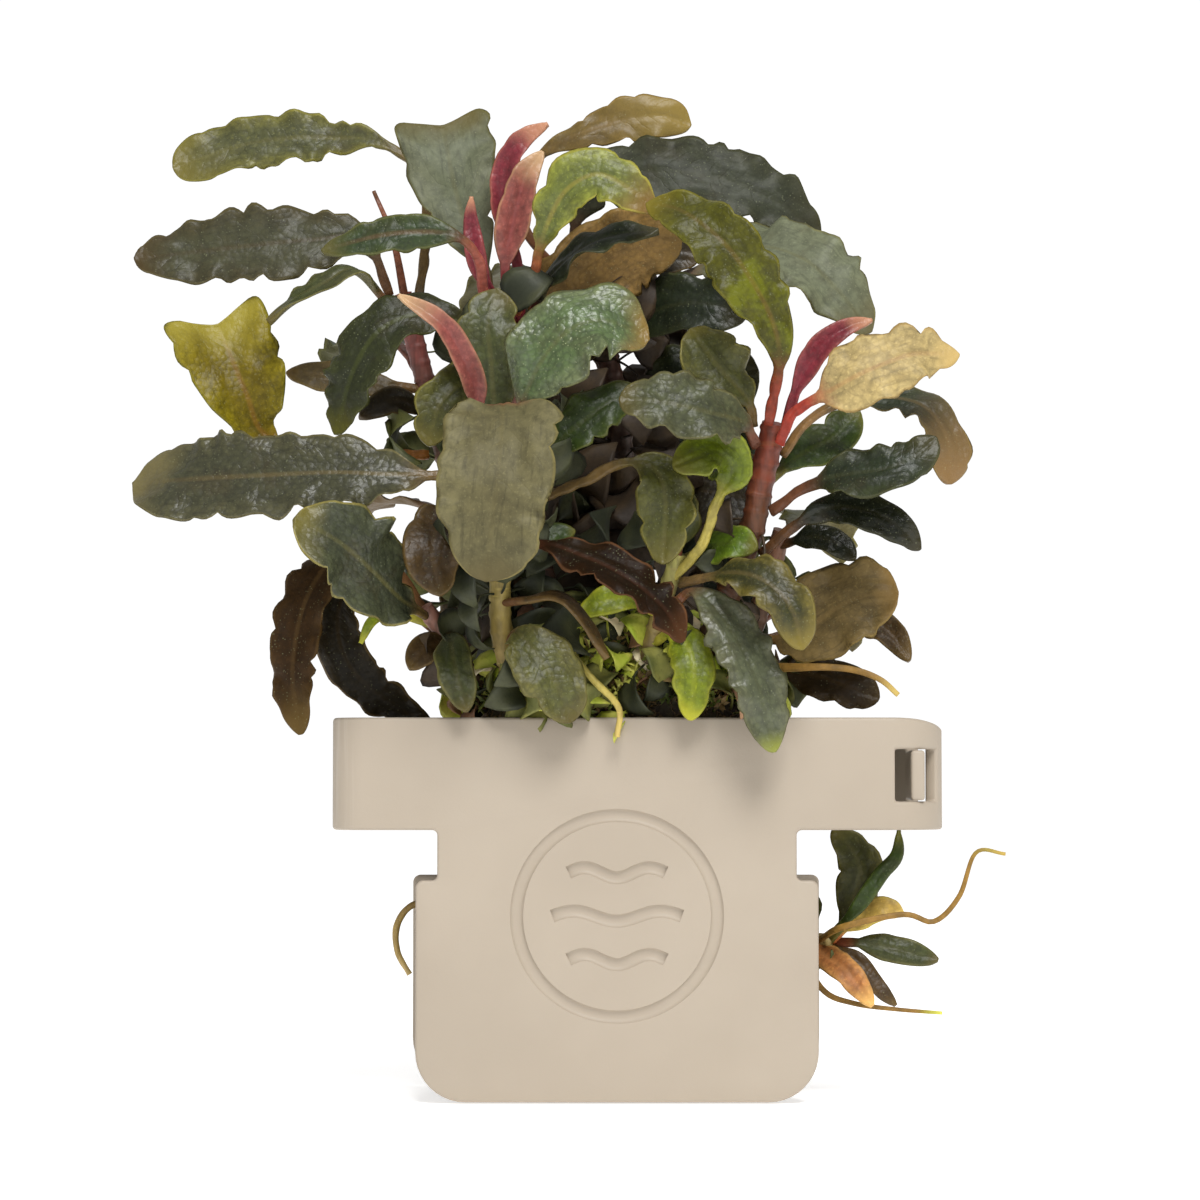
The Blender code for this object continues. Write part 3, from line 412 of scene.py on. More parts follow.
def grow(tree, source, name, **values):
    """Run a Geometry Nodes tree on an object, its inputs given by name, and return the plain mesh."""
    step = source.modifiers.new("grow", "NODES")
    step.node_group = tree
    for item in tree.interface.items_tree:
        key = item.name.lower().replace(" ", "_")
        if key in values:
            step[item.identifier] = values[key]
    return baked(source, name)


# %% [markdown]
# ## The holder
#
# The holder is one strip of beige plastic, 1.8 mm thick: a front plate under a band, a fold at the left, a
# back plate, and an arm whose tongue is snapped through a window in the front flap. The easiest way to an
# even wall is to draw only the middle surface, as flat faces and bent ribbons, and to let Solidify give it
# its thickness. Bevel then takes the sharpness off the edges, as a mould does.

# %% Middle surface of the strip
BACK_Y = 26.0
BAND_BOTTOM = 35.1
BAND_TOP = 49.7
PANEL_HALF = 33.0
NECK_HALF = 23.3
PLATE_HALF = 26.1
BACK_PLATE_EXTRA = 1.7
PLATE_SHOULDER = 28.6
FOOT_RADIUS = 6.5
SHOULDER_RADIUS = 1.0
NECK_RADIUS = 0.7
WINDOW_BOTTOM = 38.8
WINDOW_TOP = 45.6
TONGUE_BOTTOM = 38.95
TONGUE_TOP = 45.45
FLAP_DROP = 1.4
FLAP_PLAN = ((36.0, 0.1), (38.0, 0.8), (39.7, 2.0), (41.1, 3.7), (42.0, 5.6))
FLAP_STEPS = 4
WINDOW_CELLS = range(1, 3 * FLAP_STEPS + 1)
FOLD_MIDDLE = (-33.0, 3.2)
FOLD_RADIUS = 3.2
LEFT_WALL = (-36.7, 9.0)
LEFT_TURN_MIDDLE = (-33.6, 22.0)
LEFT_TURN_RADIUS = 4.0
ARM_TURN_MIDDLE = (33.6, 21.6)
ARM_TURN_RADIUS = 4.4
ARM_PLAN = ((38.6, 15.0), (39.15, 9.5))
TONGUE_PLAN = ((39.15, 7.5), (39.15, 4.0), (39.15, 0.2))
TURN_STEPS = 16
CORNER_STEPS = 10


def corner_arc(before, corner, after, radius):
    """Points of a round corner between two straight edges."""
    back = (before - corner).normalized()
    ahead = (after - corner).normalized()
    half_angle = back.angle(ahead) / 2
    reach = radius / math.tan(half_angle)
    middle = corner + (back + ahead).normalized() * radius / math.sin(half_angle)
    first = corner + back * reach - middle
    last = corner + ahead * reach - middle
    turn = first.angle(last)
    points = []
    for step in range(CORNER_STEPS + 1):
        share = step / CORNER_STEPS
        points.append(middle + (first * math.sin((1 - share) * turn) + last * math.sin(share * turn))
                      / math.sin(turn))
    return points


def panel_outline(plate_half):
    """Outline of a plate and its stretch of the band, as (x, z), with its corners rounded."""
    right = [
        (plate_half, 0, FOOT_RADIUS), (plate_half, PLATE_SHOULDER, SHOULDER_RADIUS),
        (NECK_HALF, PLATE_SHOULDER, NECK_RADIUS), (NECK_HALF, BAND_BOTTOM, NECK_RADIUS),
        (PANEL_HALF, BAND_BOTTOM, 0), (PANEL_HALF, WINDOW_BOTTOM, 0), (PANEL_HALF, WINDOW_TOP, 0),
        (PANEL_HALF, BAND_TOP, 0)]
    corners = right + [(-x, z, radius) for x, z, radius in reversed(right)]
    outline = []
    for index, (x, z, radius) in enumerate(corners):
        corner = Vector((x, z))
        if radius == 0:
            outline.append(corner)
            continue
        before = Vector(corners[index - 1][:2])
        after = Vector(corners[(index + 1) % len(corners)][:2])
        outline.extend(corner_arc(before, corner, after, radius))
    return outline


def arc_points(middle, radius, first, last):
    """Plan points along an arc, from one angle to another, in degrees."""
    points = []
    for step in range(TURN_STEPS + 1):
        angle = math.radians(first + (last - first) * step / TURN_STEPS)
        points.append((middle[0] + radius * math.cos(angle), middle[1] + radius * math.sin(angle)))
    return points


def ribbon(shape, column, plan, heights, skip=()):
    """Strip of the band on from a column of vertices; skip names (column, row) cells left open."""
    for number, ((x, y), levels) in enumerate(zip(plan, heights)):
        new = [shape.verts.new((x, y, z)) if z is not None else None for z in levels]
        for row in range(len(new) - 1):
            corners = (column[row], new[row], new[row + 1], column[row + 1])
            if (number, row) not in skip and None not in corners:
                shape.faces.new(corners)
        column = new
    return column


def panel(shape, y, plate_half):
    """Flat face of one plate. Returns its right and left end columns of vertices."""
    made = [shape.verts.new((point.x, y, point.y)) for point in panel_outline(plate_half)]
    shape.faces.new(made)
    ends = []
    for side in (PANEL_HALF, -PANEL_HALF):
        column = [vert for vert in made if abs(vert.co.x - side) < 0.001]
        ends.append(sorted(column, key=lambda vert: vert.co.z))
    return ends


def holder_sheet():
    """Middle surface of the holder, later given its thickness."""
    shape = bmesh.new()
    front_right, front_left = panel(shape, 0.0, PLATE_HALF)
    back_right, back_left = panel(shape, BACK_Y, PLATE_HALF + BACK_PLATE_EXTRA)
    levels = (BAND_BOTTOM, WINDOW_BOTTOM, WINDOW_TOP, BAND_TOP)

    count = (len(FLAP_PLAN) - 1) * FLAP_STEPS
    flap_way = smooth_path([Vector((x, y, 0)) for x, y in FLAP_PLAN], even_shares(count))
    flap = [(point.x, point.y) for point in flap_way]
    heights = [(BAND_BOTTOM, WINDOW_BOTTOM, WINDOW_TOP, BAND_TOP - FLAP_DROP * share ** 2)
               for share in even_shares(count)]
    ribbon(shape, front_right, flap, heights, skip=[(cell, 1) for cell in WINDOW_CELLS])

    fold = arc_points(FOLD_MIDDLE, FOLD_RADIUS, 270, 184)[1:]
    wall_turn = arc_points(LEFT_TURN_MIDDLE, LEFT_TURN_RADIUS, 176, 90)
    left_plan = [*fold, LEFT_WALL, *wall_turn]
    last = ribbon(shape, front_left, left_plan, [levels] * len(left_plan))
    for row in range(len(levels) - 1):
        shape.faces.new((last[row], back_left[row], back_left[row + 1], last[row + 1]))

    arm = [*arc_points(ARM_TURN_MIDDLE, ARM_TURN_RADIUS, 90, 8), *ARM_PLAN]
    column = ribbon(shape, back_right, arm, [levels] * len(arm))
    narrow = (None, TONGUE_BOTTOM, TONGUE_TOP, None)
    ribbon(shape, column, TONGUE_PLAN, [narrow] * len(TONGUE_PLAN))
    bmesh.ops.remove_doubles(shape, verts=shape.verts, dist=0.001)
    return shape


print("flap window takes", len(WINDOW_CELLS), "cells of the flap")

# %% [markdown]
# ## The sunk figure
#
# The front plate carries a sunk figure, a plain ring round three ripples. It could be drawn by a bump alone,
# but a groove half a millimetre deep catches the light along its walls, so it is cut. The cutter is a bar
# that follows the line, with a round belly, and Boolean takes it away from the plate.

# %% Cutters for the figure
FIGURE_Z = 24.0
FIGURE_RADIUS = 13.0
FIGURE_HALF_LINE = 0.75
FIGURE_DEPTH = 0.5
RIPPLE_RISE = 1.3
RIPPLE_SPACING = 5.6
RIPPLE_STEPS = 40
RIPPLE_HALF_WIDTHS = (6.3, 8.4, 6.3)
RING_SIDES = 120
BELLY_STEPS = 8
BELLY_FULLNESS = 0.6
GROOVE_FLARE = 0.12
LIP_HEIGHT = 0.02
CUTTER_REACH = 1.0


def groove_section():
    """Section of the cutter as (across, into the plate): a slot with a round belly and flared lips."""
    belly = []
    for step in range(BELLY_STEPS + 1):
        turn = math.pi * step / BELLY_STEPS
        belly.append((-FIGURE_HALF_LINE * math.cos(turn), FIGURE_DEPTH * math.sin(turn) ** BELLY_FULLNESS))
    lip = FIGURE_HALF_LINE + GROOVE_FLARE
    left = [(-lip, -CUTTER_REACH), (-lip, -LIP_HEIGHT)]
    return [*left, *belly[1:-1], (lip, -LIP_HEIGHT), (lip, -CUTTER_REACH)]


def groove_cutter(points, closed):
    """Bar along a line drawn on the front face."""
    shape = bmesh.new()
    count = len(points)
    rings = []
    for index, point in enumerate(points):
        before = points[index - 1] if closed else points[max(index - 1, 0)]
        after = points[(index + 1) % count] if closed else points[min(index + 1, count - 1)]
        along = (after - before).normalized()
        side = Vector((-along.y, along.x))
        ring = []
        for across, depth in groove_section():
            spot = point + side * across
            ring.append(shape.verts.new((spot.x, FRONT_FACE_Y + depth, spot.y)))
        rings.append(ring)
    skin(shape, rings, closed)
    if not closed:
        close_flat(shape, rings)
    return shape


def figure_lines():
    """The ring, then the three ripples, as points (x, z)."""
    ring = []
    for number in range(RING_SIDES):
        turn = 2 * math.pi * number / RING_SIDES
        ring.append(Vector((FIGURE_RADIUS * math.cos(turn), FIGURE_Z + FIGURE_RADIUS * math.sin(turn))))
    lines = [(ring, True)]
    for number, half_width in enumerate(RIPPLE_HALF_WIDTHS):
        height = FIGURE_Z + (number - 1) * RIPPLE_SPACING
        ripple = []
        for share in even_shares(RIPPLE_STEPS):
            rise = RIPPLE_RISE / 2 * math.sin(3 * math.pi * share)
            ripple.append(Vector((half_width * (2 * share - 1), height + rise)))
        lines.append((ripple, False))
    return lines


# %% [markdown]
# ## Moulded plastic
#
# The plastic is matt and warm grey-beige, with the fine grain of its mould. Colour hardly changes over it,
# and what the eye reads as plastic is the soft gloss: roughness that wanders a little, a grain too fine to
# see as dots, and faint upright stress lines where the strip is folded at the left.

# %% Finish of the holder
def moulded_plastic():
    finish = Finish("moulded_plastic", **{
        "IOR": 1.46, "Subsurface Weight": 0.04, "Subsurface Radius": (0.004, 0.003, 0.002)})
    x, _, z = finish.coordinates()
    clouds = finish.noise(45, 3)
    grain = finish.noise(2600, 2)
    streaks = finish.noise(1500, 2, (1.0, 1.0, 0.03))
    at_fold = 1 - (x / MM).rise(-36.6, -33.0)
    scuffs = finish.noise(260, 6, roughness=0.7).rise(0.62, 0.8)
    colour = finish.mix(clouds.rise(0.25, 0.75), (156, 144, 128), (163, 151, 135))
    colour = finish.mix(at_fold * streaks.rise(0.5, 0.75) * 0.35, colour, (196, 186, 172))
    colour = finish.mix(scuffs * 0.10, colour, (150, 138, 121))
    colour = finish.mix((1 - (z / MM).rise(0.3, 3.0)) * clouds * 0.35, colour, (150, 138, 121))
    finish.raise_by(grain, 0.02, 0.6)
    finish.raise_by(clouds, 0.3, 0.12)
    finish.raise_by(streaks * at_fold, 0.03, 0.6)
    return finish.close(colour, 0.46 + clouds * 0.12 + grain * 0.06)


# %% Make the holder
EDGE_ROUNDING = 0.4
SHARP_DEGREES = 40.0


def make_holder():
    sheet = as_source("holder_sheet", mesh_from(holder_sheet(), "holder_sheet"))
    thickness = sheet.modifiers.new("Thickness", "SOLIDIFY")
    thickness.thickness = WALL * MM
    thickness.offset = 0
    thickness.use_even_offset = True
    rounding = sheet.modifiers.new("Rounding", "BEVEL")
    rounding.width = EDGE_ROUNDING * MM
    rounding.segments = 3
    rounding.limit_method = "ANGLE"
    rounding.angle_limit = math.radians(SHARP_DEGREES)
    cutters = []
    for line, closed in figure_lines():
        cutter = as_source("cutter", mesh_from(groove_cutter(line, closed), "cutter"))
        cut = sheet.modifiers.new("Figure", "BOOLEAN")
        cut.operation = "DIFFERENCE"
        cut.solver = "EXACT"
        cut.object = cutter
        cutters.append(cutter)
    mesh = baked(sheet, "holder_body")
    for cutter in cutters:
        bpy.data.objects.remove(cutter, do_unlink=True)
    mesh.shade_smooth()
    mesh.set_sharp_from_angle(angle=math.radians(SHARP_DEGREES))
    return add_piece("holder_body", mesh, moulded_plastic(), slot="holder", node="holder")


holder = make_holder()
print("holder has", len(holder.data.polygons), "faces")

# %% [markdown]
# ## A leaf of its own shape
#
# A leaf of this plant is a stalk that widens into a blade. The blade is thick along its midrib, thin at its
# edges, a little hollow above, and its margins are crimped: they wander in and out and up and down every few
# millimetres. One rule can make them all, so each leaf is a short line in a table: where it starts on its
# stem, where it goes, how wide it is, which way its upper face looks and which colouring it has.
#
# Every point of the mesh also keeps two small vectors, how far it lies from the midrib and from the foot in
# millimetres, and the same as shares. The finish reads them, so that veins and margins follow the blade.

# %% The rule for leaves
FORWARD = (0.0, -1.0, 0.3)
UPWARD = (0.0, -0.4, 1.0)
GAP = 0.3
THREAD_WIDTH = 2.0
THREAD_TAPER = 0.55
THREAD_THICKNESS = 0.8
PETIOLE_HALF_WIDTH = 0.7
PETIOLE_THICKNESS = 1.2
RIB_THICKNESS = 0.75
BLADE_THICKNESS = 0.34
RIB_HALF_WIDTH = 0.8
BLADE_HALF_WIDTH = 2.8
TIP_HALF_WIDTH = 0.3
TIP_FROM = 0.45
TIP_CROWDING = 1.25
HORN_SPREAD = 1.5
HORN_LATENESS = 4
TWIG_INSET = 0.8
STATION_LENGTH = 0.62
LEAST_STATIONS = 26
COLUMNS = 20
BLADE_BLUNTNESS = 6
RIM_BLUNTNESS = 8
MARGIN_CURVE = 1.4
WAVES = 2.0
RUFFLE = 0.45
RUFFLE_LENGTH = 6.5
RUFFLED_WIDTH = 7.0
RUFFLE_RISE = 2.5
RUFFLE_FROM = 0.3
RUFFLE_DRIFT = 1.2
RUFFLE_HEIGHTS = (0.35, 1.3)
RUFFLE_FRAY = 0.25
CALM_TIP = 6  # how soon the ruffles set in behind the tip
LOBE_LENGTH = 5.0
LOBE_DEPTH = 3.0
LOBE_DRIFT = 1.1
LOBE_DEPTHS = (0.3, 1.6)
LOBE_ROUNDNESS = 0.8
LOBE_MIDDLE = 0.65
SWELL_SHARE = 0.16
FURROW_DEPTH = 0.2
DIMPLE_HEIGHT = 0.6
DIMPLES_ACROSS = 0.34
DIMPLES_ALONG = 0.26
CALM_RIB = 2.5  # how soon the dimples set in beside the midrib


@dataclass
class Leaf:
    """One leaf: where it starts on its stem, where it goes, how wide it is and how it is turned."""
    stem: str
    at: float  # share of the way up the stem
    path: tuple  # its way, from foot to tip
    width: float
    colour: str  # name of its colouring
    facings: tuple = (FORWARD,)  # where its upper face looks, from foot to tip
    petiole: float = 0.15  # share of its length that is stalk
    rise: float = 0.45  # share of the blade at which it is widest
    tip: float = 2.2  # how blunt the tip is
    fold: float = 0.12  # how far the margins stand up
    wave: float = 0.10  # how far the blade rocks from side to side
    horns: float = 0.0  # how far the tip's corners reach out


def facing_at(facings, share):
    """Direction of the upper face at a share of the length."""
    place = share * (len(facings) - 1)
    index = int(place)
    following = min(index + 1, len(facings) - 1)
    return Vector(facings[index]).lerp(Vector(facings[following]), place - index)


def half_width_at(leaf, share):
    """Half of the leaf's width: a thin stalk, then the blade's outline."""
    stalk = PETIOLE_HALF_WIDTH if leaf.width > THREAD_WIDTH else leaf.width / 2 * (1 - THREAD_TAPER * share)
    if share <= leaf.petiole:
        return stalk
    blade = (share - leaf.petiole) / (1 - leaf.petiole)
    widening = math.sin(math.pi / 2 * min(blade / leaf.rise, 1))
    narrowing = max(blade - TIP_FROM, 0) / (1 - TIP_FROM)
    outline = widening * math.sqrt(1 - narrowing ** leaf.tip)
    return max(leaf.width / 2 * outline, stalk * (1 - blade), TIP_HALF_WIDTH)


def horn_reach(leaf, out, share):
    """How far a horned leaf's corners stand out beyond the middle of its tip."""
    return leaf.horns * (2 * abs(out) / leaf.width) ** HORN_SPREAD * share ** HORN_LATENESS


def wander(along, fineness, track, seed):
    """Number from about -1 to 1 that drifts along a leaf. Another track or seed drifts in another way."""
    return noise.noise(Vector((along * fineness, track, seed)))


def crimp(along, side, seed):
    """How far a margin lifts, from about -1 to 1, along one side of a leaf."""
    drift = wander(along, 0.11, side * 9.1, seed)
    beat = math.sin(2 * math.pi * (along / RUFFLE_LENGTH + drift * RUFFLE_DRIFT) + side)
    least, more = RUFFLE_HEIGHTS
    return beat * (least + more * abs(drift)) + RUFFLE_FRAY * wander(along, 0.6, side * 5.3, seed + 40)


def lobes(along, side, seed):
    """Rounded lobes of a margin with notches between them, uneven in length and in depth."""
    drift = wander(along, 0.16, side * 3.7, seed + 80)
    lobe = abs(math.sin(math.pi * (along / LOBE_LENGTH + drift * LOBE_DRIFT)))
    least, more = LOBE_DEPTHS
    depth = least + more * abs(wander(along, 0.12, side * 6.1, seed + 120))
    return (lobe ** LOBE_ROUNDNESS - LOBE_MIDDLE) * depth


def leaf_section(half, thickness):
    """Places round one ring as (share across, lift, side): over the upper face, then the lower."""
    spread = min(half / BLADE_HALF_WIDTH, 1)
    section = []
    for index in range(2 * COLUMNS):
        upper = index <= COLUMNS
        across = 2 * index / COLUMNS - 1 if upper else 3 - 2 * index / COLUMNS
        rib = math.exp(-(across * half / RIB_HALF_WIDTH) ** 2)
        blade = BLADE_THICKNESS * math.sqrt(max(1 - across ** BLADE_BLUNTNESS, 0))
        blade += (thickness - BLADE_THICKNESS) * rib
        stalk = thickness * math.sqrt(max(1 - across ** 2, 0))
        lift = (stalk + (blade * math.sqrt(max(1 - across ** RIM_BLUNTNESS, 0)) - stalk) * spread) / 2
        furrow = FURROW_DEPTH * spread * math.exp(-(across * half / (RIB_HALF_WIDTH / 2)) ** 2)
        edge = abs(across) == 1
        section.append((across, lift - furrow if upper else -lift, 0 if edge else (1 if upper else -1)))
    return section


def leaf_mesh(name, leaf, points, seed):
    """Closed mesh of a leaf along its way, with the two point attributes that its finish reads."""
    length = way_length(points)
    count = max(LEAST_STATIONS, round(length / STATION_LENGTH))
    shares = [1 - (1 - share) ** TIP_CROWDING for share in even_shares(count)]
    path = smooth_path(points, shares)
    shape = bmesh.new()
    measures = shape.verts.layers.float_vector.new("leaf_mm")
    places = shape.verts.layers.float_vector.new("leaf_share")
    rings = []
    for share, centre, way in zip(shares, path, tangents(path)):
        side = way.cross(facing_at(leaf.facings, share)).normalized()
        up = side.cross(way)
        half = half_width_at(leaf, share)
        along = share * length
        spread = min(half / BLADE_HALF_WIDTH, 1)
        thickness = PETIOLE_THICKNESS + (RIB_THICKNESS - PETIOLE_THICKNESS) * spread
        if leaf.width <= THREAD_WIDTH:
            thickness = 2 * half * THREAD_THICKNESS
        twist = math.sin(2 * math.pi * WAVES * share) * leaf.wave
        crimped = RUFFLE * spread * min(1, CALM_TIP * (1 - share)) * min(1, leaf.width / RUFFLED_WIDTH) ** 2
        ring = []
        for across, lift, face in leaf_section(half, thickness):
            left = 1 if across > 0 else -1
            edge = max(abs(across) - RUFFLE_FROM, 0) / (1 - RUFFLE_FROM)
            swell = 1 + SWELL_SHARE * wander(along, 0.1, left * 4.3, seed)
            out = half * across * swell + left * crimped * LOBE_DEPTH * edge ** 2 * lobes(along, left, seed)
            height = half * (leaf.fold * abs(across) ** MARGIN_CURVE + twist * across)
            height += crimped * edge ** MARGIN_CURVE * RUFFLE_RISE * crimp(along, left, seed)
            spot = Vector((half * across * DIMPLES_ACROSS, along * DIMPLES_ALONG, seed + left * 7))
            dimple = noise.noise(spot)
            height += DIMPLE_HEIGHT * spread * dimple * min(abs(across) * CALM_RIB, 1)
            ahead = way * horn_reach(leaf, half * across, share)
            vert = shape.verts.new(centre + side * out + up * (height + lift) + ahead)
            vert[measures] = (half * across, along, half)
            vert[places] = (across, share, face)
            ring.append(vert)
        rings.append(ring)
    skin(shape, rings)
    for middle, neighbour in zip(close_round(shape, rings), (rings[0][-1], rings[-1][0])):
        middle[measures] = neighbour[measures]
        middle[places] = (0, neighbour[places][1], 0)
    return mesh_from(shape, name, smooth=True)


# %% [markdown]
# ## The stems, and the foot of each leaf
#
# The stems creep up out of the roots. A leaf's foot lies beside its stem, on the side that the leaf goes to,
# so that its stalk seems to leave the bark there.

# %% Stems
STEM_STATIONS = 40
STEMS = {
    # radius at the foot and at the top, and the way as it is sighted
    "stem_centre": (1.8, 1.5, ((-7, 50, 12), (-10, 70, 12), (-13, 88, 10), (-15, 105, 8))),
    "stem_back_left": (1.6, 1.3, ((-14, 50, 18), (-18, 68, 20), (-23, 86, 20), (-28, 105, 19))),
    "stem_front": (1.4, 1.3, ((-12, 50, 6), (-15, 61, 2), (-15, 74, -1), (-15, 88, -5))),
    "stem_left_low": (1.3, 1.1, ((-16, 50, 12), (-20, 57, 8), (-25, 64, 5))),
    "stem_right": (1.7, 1.6, ((8, 50, 9), (13, 62, 5), (17.5, 74, 0), (18.7, 80, -1), (20.5, 88, -3))),
    "stem_right_low": (1.5, 1.2, ((13, 50, 16), (18, 62, 13), (21.5, 74, 9))),
    "stem_centre_low": (1.3, 1.1, ((2, 50, 7), (5, 61, 4), (8, 71, 1))),
    "stem_back": (1.8, 1.5, ((0, 50, 17), (1, 70, 21), (0, 90, 22), (-4, 108, 20))),
    "side_shoot": (1.4, 1.2, ((16, 22, 14), (22, 21, 14), (28, 20.5, 12))),
}


def stem_path(way):
    """Points at even distances, in millimetres, along a way that is given as it is sighted."""
    return smooth_path([sighted(*place) for place in way], even_shares(STEM_STATIONS))


def stem_at(name, share):
    """Middle, direction and radius of a stem at a share of its length."""
    foot_radius, top_radius, way = STEMS[name]
    path = stem_path(way)
    index = round(share * STEM_STATIONS)
    return path[index], tangents(path)[index], foot_radius + (top_radius - foot_radius) * share


def leaf_start(leaf, toward, offset):
    """Point beside the stem, on the side that the leaf leaves from."""
    middle, along, radius = stem_at(leaf.stem, leaf.at)
    out = toward - middle
    out = (out - along * out.dot(along)).normalized()
    return middle + out * (radius + offset)


print(len(STEMS), "stems")

# %% [markdown]
# ## The colour of a leaf
#
# On the real plant no two leaves match: young ones are pink, wine red or yellow-green, old ones dark teal,
# olive or brown, and their margins and tips often turn first. Yet they are all built alike, so one finish
# takes a list of colours. Side veins slant from the midrib towards the tip and lie in shallow furrows, the
# blade between them is puckered, tiny pale glands glint on it, and a thin pale line runs along the margin.
# The skin is pebbled, with painted shade in the hollows between the pebbles, and finely wrinkled along the
# leaf. It is glossy, so the roughness is low and broken up by the grain.

# %% Finish of leaves
VEIN_SPACING = 2.3
VEIN_SLANT = 0.8
VEIN_BEND = 0.03


@dataclass
class Look:
    """The colours of a leaf, as 8-bit display values, and how strongly its marks show."""
    centre: tuple
    margin: tuple
    tip: tuple
    stalk: tuple
    rib: tuple
    under: tuple
    rim: tuple
    blotch: tuple = (62, 50, 36)
    blotches: float = 0.25
    tip_from: float = 0.82
    rough: float = 0.36
    veins: float = 0.5
    glands: float = 0.35
    light: float = 0.9
    ribbing: float = 0.5
    relief: float = 0.7
    gloss: float = 0.34


LEAF_LIGHT = (1.0, 0.97, 0.76)


def shaded(colour, share):
    """The colour, lighter or darker."""
    return tuple(part * share for part in colour)


def warmed(look):
    """The look as a living leaf has it: each of its colours a little warmer, and as light as the leaf is."""
    colours = {}
    for name, value in vars(look).items():
        if isinstance(value, tuple):
            lit = (part * light * look.light for part, light in zip(value, LEAF_LIGHT))
            colours[name] = tuple(min(part, 255) for part in lit)
    return replace(look, **colours)


def leaf_finish(name, look, petiole):
    finish = Finish(name, **{"IOR": 1.42, "Specular IOR Level": look.gloss})
    across_mm, along_mm, half = finish.attribute("leaf_mm")
    across, share, face = finish.attribute("leaf_share")
    off = abs(across_mm)
    clouds = finish.noise(150, 4)
    mottle = finish.noise(620, 4, roughness=0.62)
    grit = finish.noise(2600, 2)
    grain = finish.noise(300, 2).rise(0.4, 0.6)
    blade = half.rise(0.8, 2.4)

    beat = ((along_mm - off * VEIN_SLANT - off * off * VEIN_BEND + clouds * 6) / VEIN_SPACING).math("FRACT")
    furrow = (abs(beat - 0.5) * 2).rise(0.8, 1.0) * blade
    pucker = 1 - abs(beat - 0.5) * 2
    rib = (1 - off.rise(0.1, 0.5)) * blade * look.ribbing
    rim = (1 - (half - off).rise(0.12, 0.42)) * blade
    cells = finish.cells(2200.0)
    glands = (1 - cells.rise(0.08, 0.26)) * mottle.rise(0.42, 0.62)
    pebbles = finish.cells(1250.0)
    lower = 1 - face.rise(-0.7, 0.3)
    flat = finish.add("ShaderNodeCombineXYZ", {"X": across_mm * 1.5, "Y": along_mm * 0.28, "Z": half * 0.1})
    wrinkles = finish.signal("ShaderNodeTexNoise", "Fac", {
        "Vector": flat.outputs[0], "Scale": 1.0, "Detail": 3.0, "Roughness": 0.6})

    colour = finish.mix((abs(across) + clouds * 0.8 - 0.4).rise(0.35, 0.95), look.centre, look.margin)
    colour = finish.mix(mottle.rise(0.35, 0.7) * 0.5, colour, shaded(look.centre, 0.62))
    # Painted shade: the blade is darker in the hollows between the pebbles, the more so the deeper its
    # relief.
    colour = finish.mix(pebbles.rise(0.3, 0.75) * 0.4 * look.relief, colour, shaded(look.centre, 0.55))
    colour = finish.mix(grit.rise(0.55, 0.75) * 0.25, colour, shaded(look.margin, 1.25))
    spots = finish.noise(95, 5, roughness=0.66).rise(0.54, 0.66)
    colour = finish.mix(spots * look.blotches, colour, look.blotch)
    colour = finish.mix(furrow * look.veins * 0.3 * grain, colour, shaded(look.centre, 0.6))
    colour = finish.mix(wrinkles.rise(0.5, 0.72) * 0.4 * blade, colour, shaded(look.centre, 0.5))
    colour = finish.mix(lower * (0.75 - rib * 0.3), colour, look.under)
    colour = finish.mix(rib * (1 - share * 0.7), colour, look.rib)
    colour = finish.mix((share + clouds * 0.24 - 0.12).rise(look.tip_from, 1.02), colour, look.tip)
    colour = finish.mix(rim * (0.2 + mottle * 0.6), colour, look.rim)
    colour = finish.mix(glands * look.glands * 0.5, colour, (178, 184, 140))
    foot = 1 - (share + grit * 0.04).rise(petiole * 0.85, min(petiole + 0.14, 1.0))
    streak = finish.mix(mottle.rise(0.3, 0.7), look.stalk, shaded(look.stalk, 0.78))
    colour = finish.mix(foot, colour, streak)

    finish.raise_by(1 - furrow * grain, 0.04, 0.4)
    finish.raise_by(pucker * grain, 0.07, 0.35)
    finish.raise_by(wrinkles, 0.1 * look.relief, 0.6)
    finish.raise_by(mottle, 0.12, 0.45)
    finish.raise_by(clouds, 0.6, 0.4)
    finish.raise_by(1 - pebbles, 0.16 * look.relief, 0.7)
    finish.raise_by(grit, 0.05 * look.relief, 0.6)
    return finish.close(colour, look.rough - 0.06 + mottle * 0.2 + lower * 0.16)


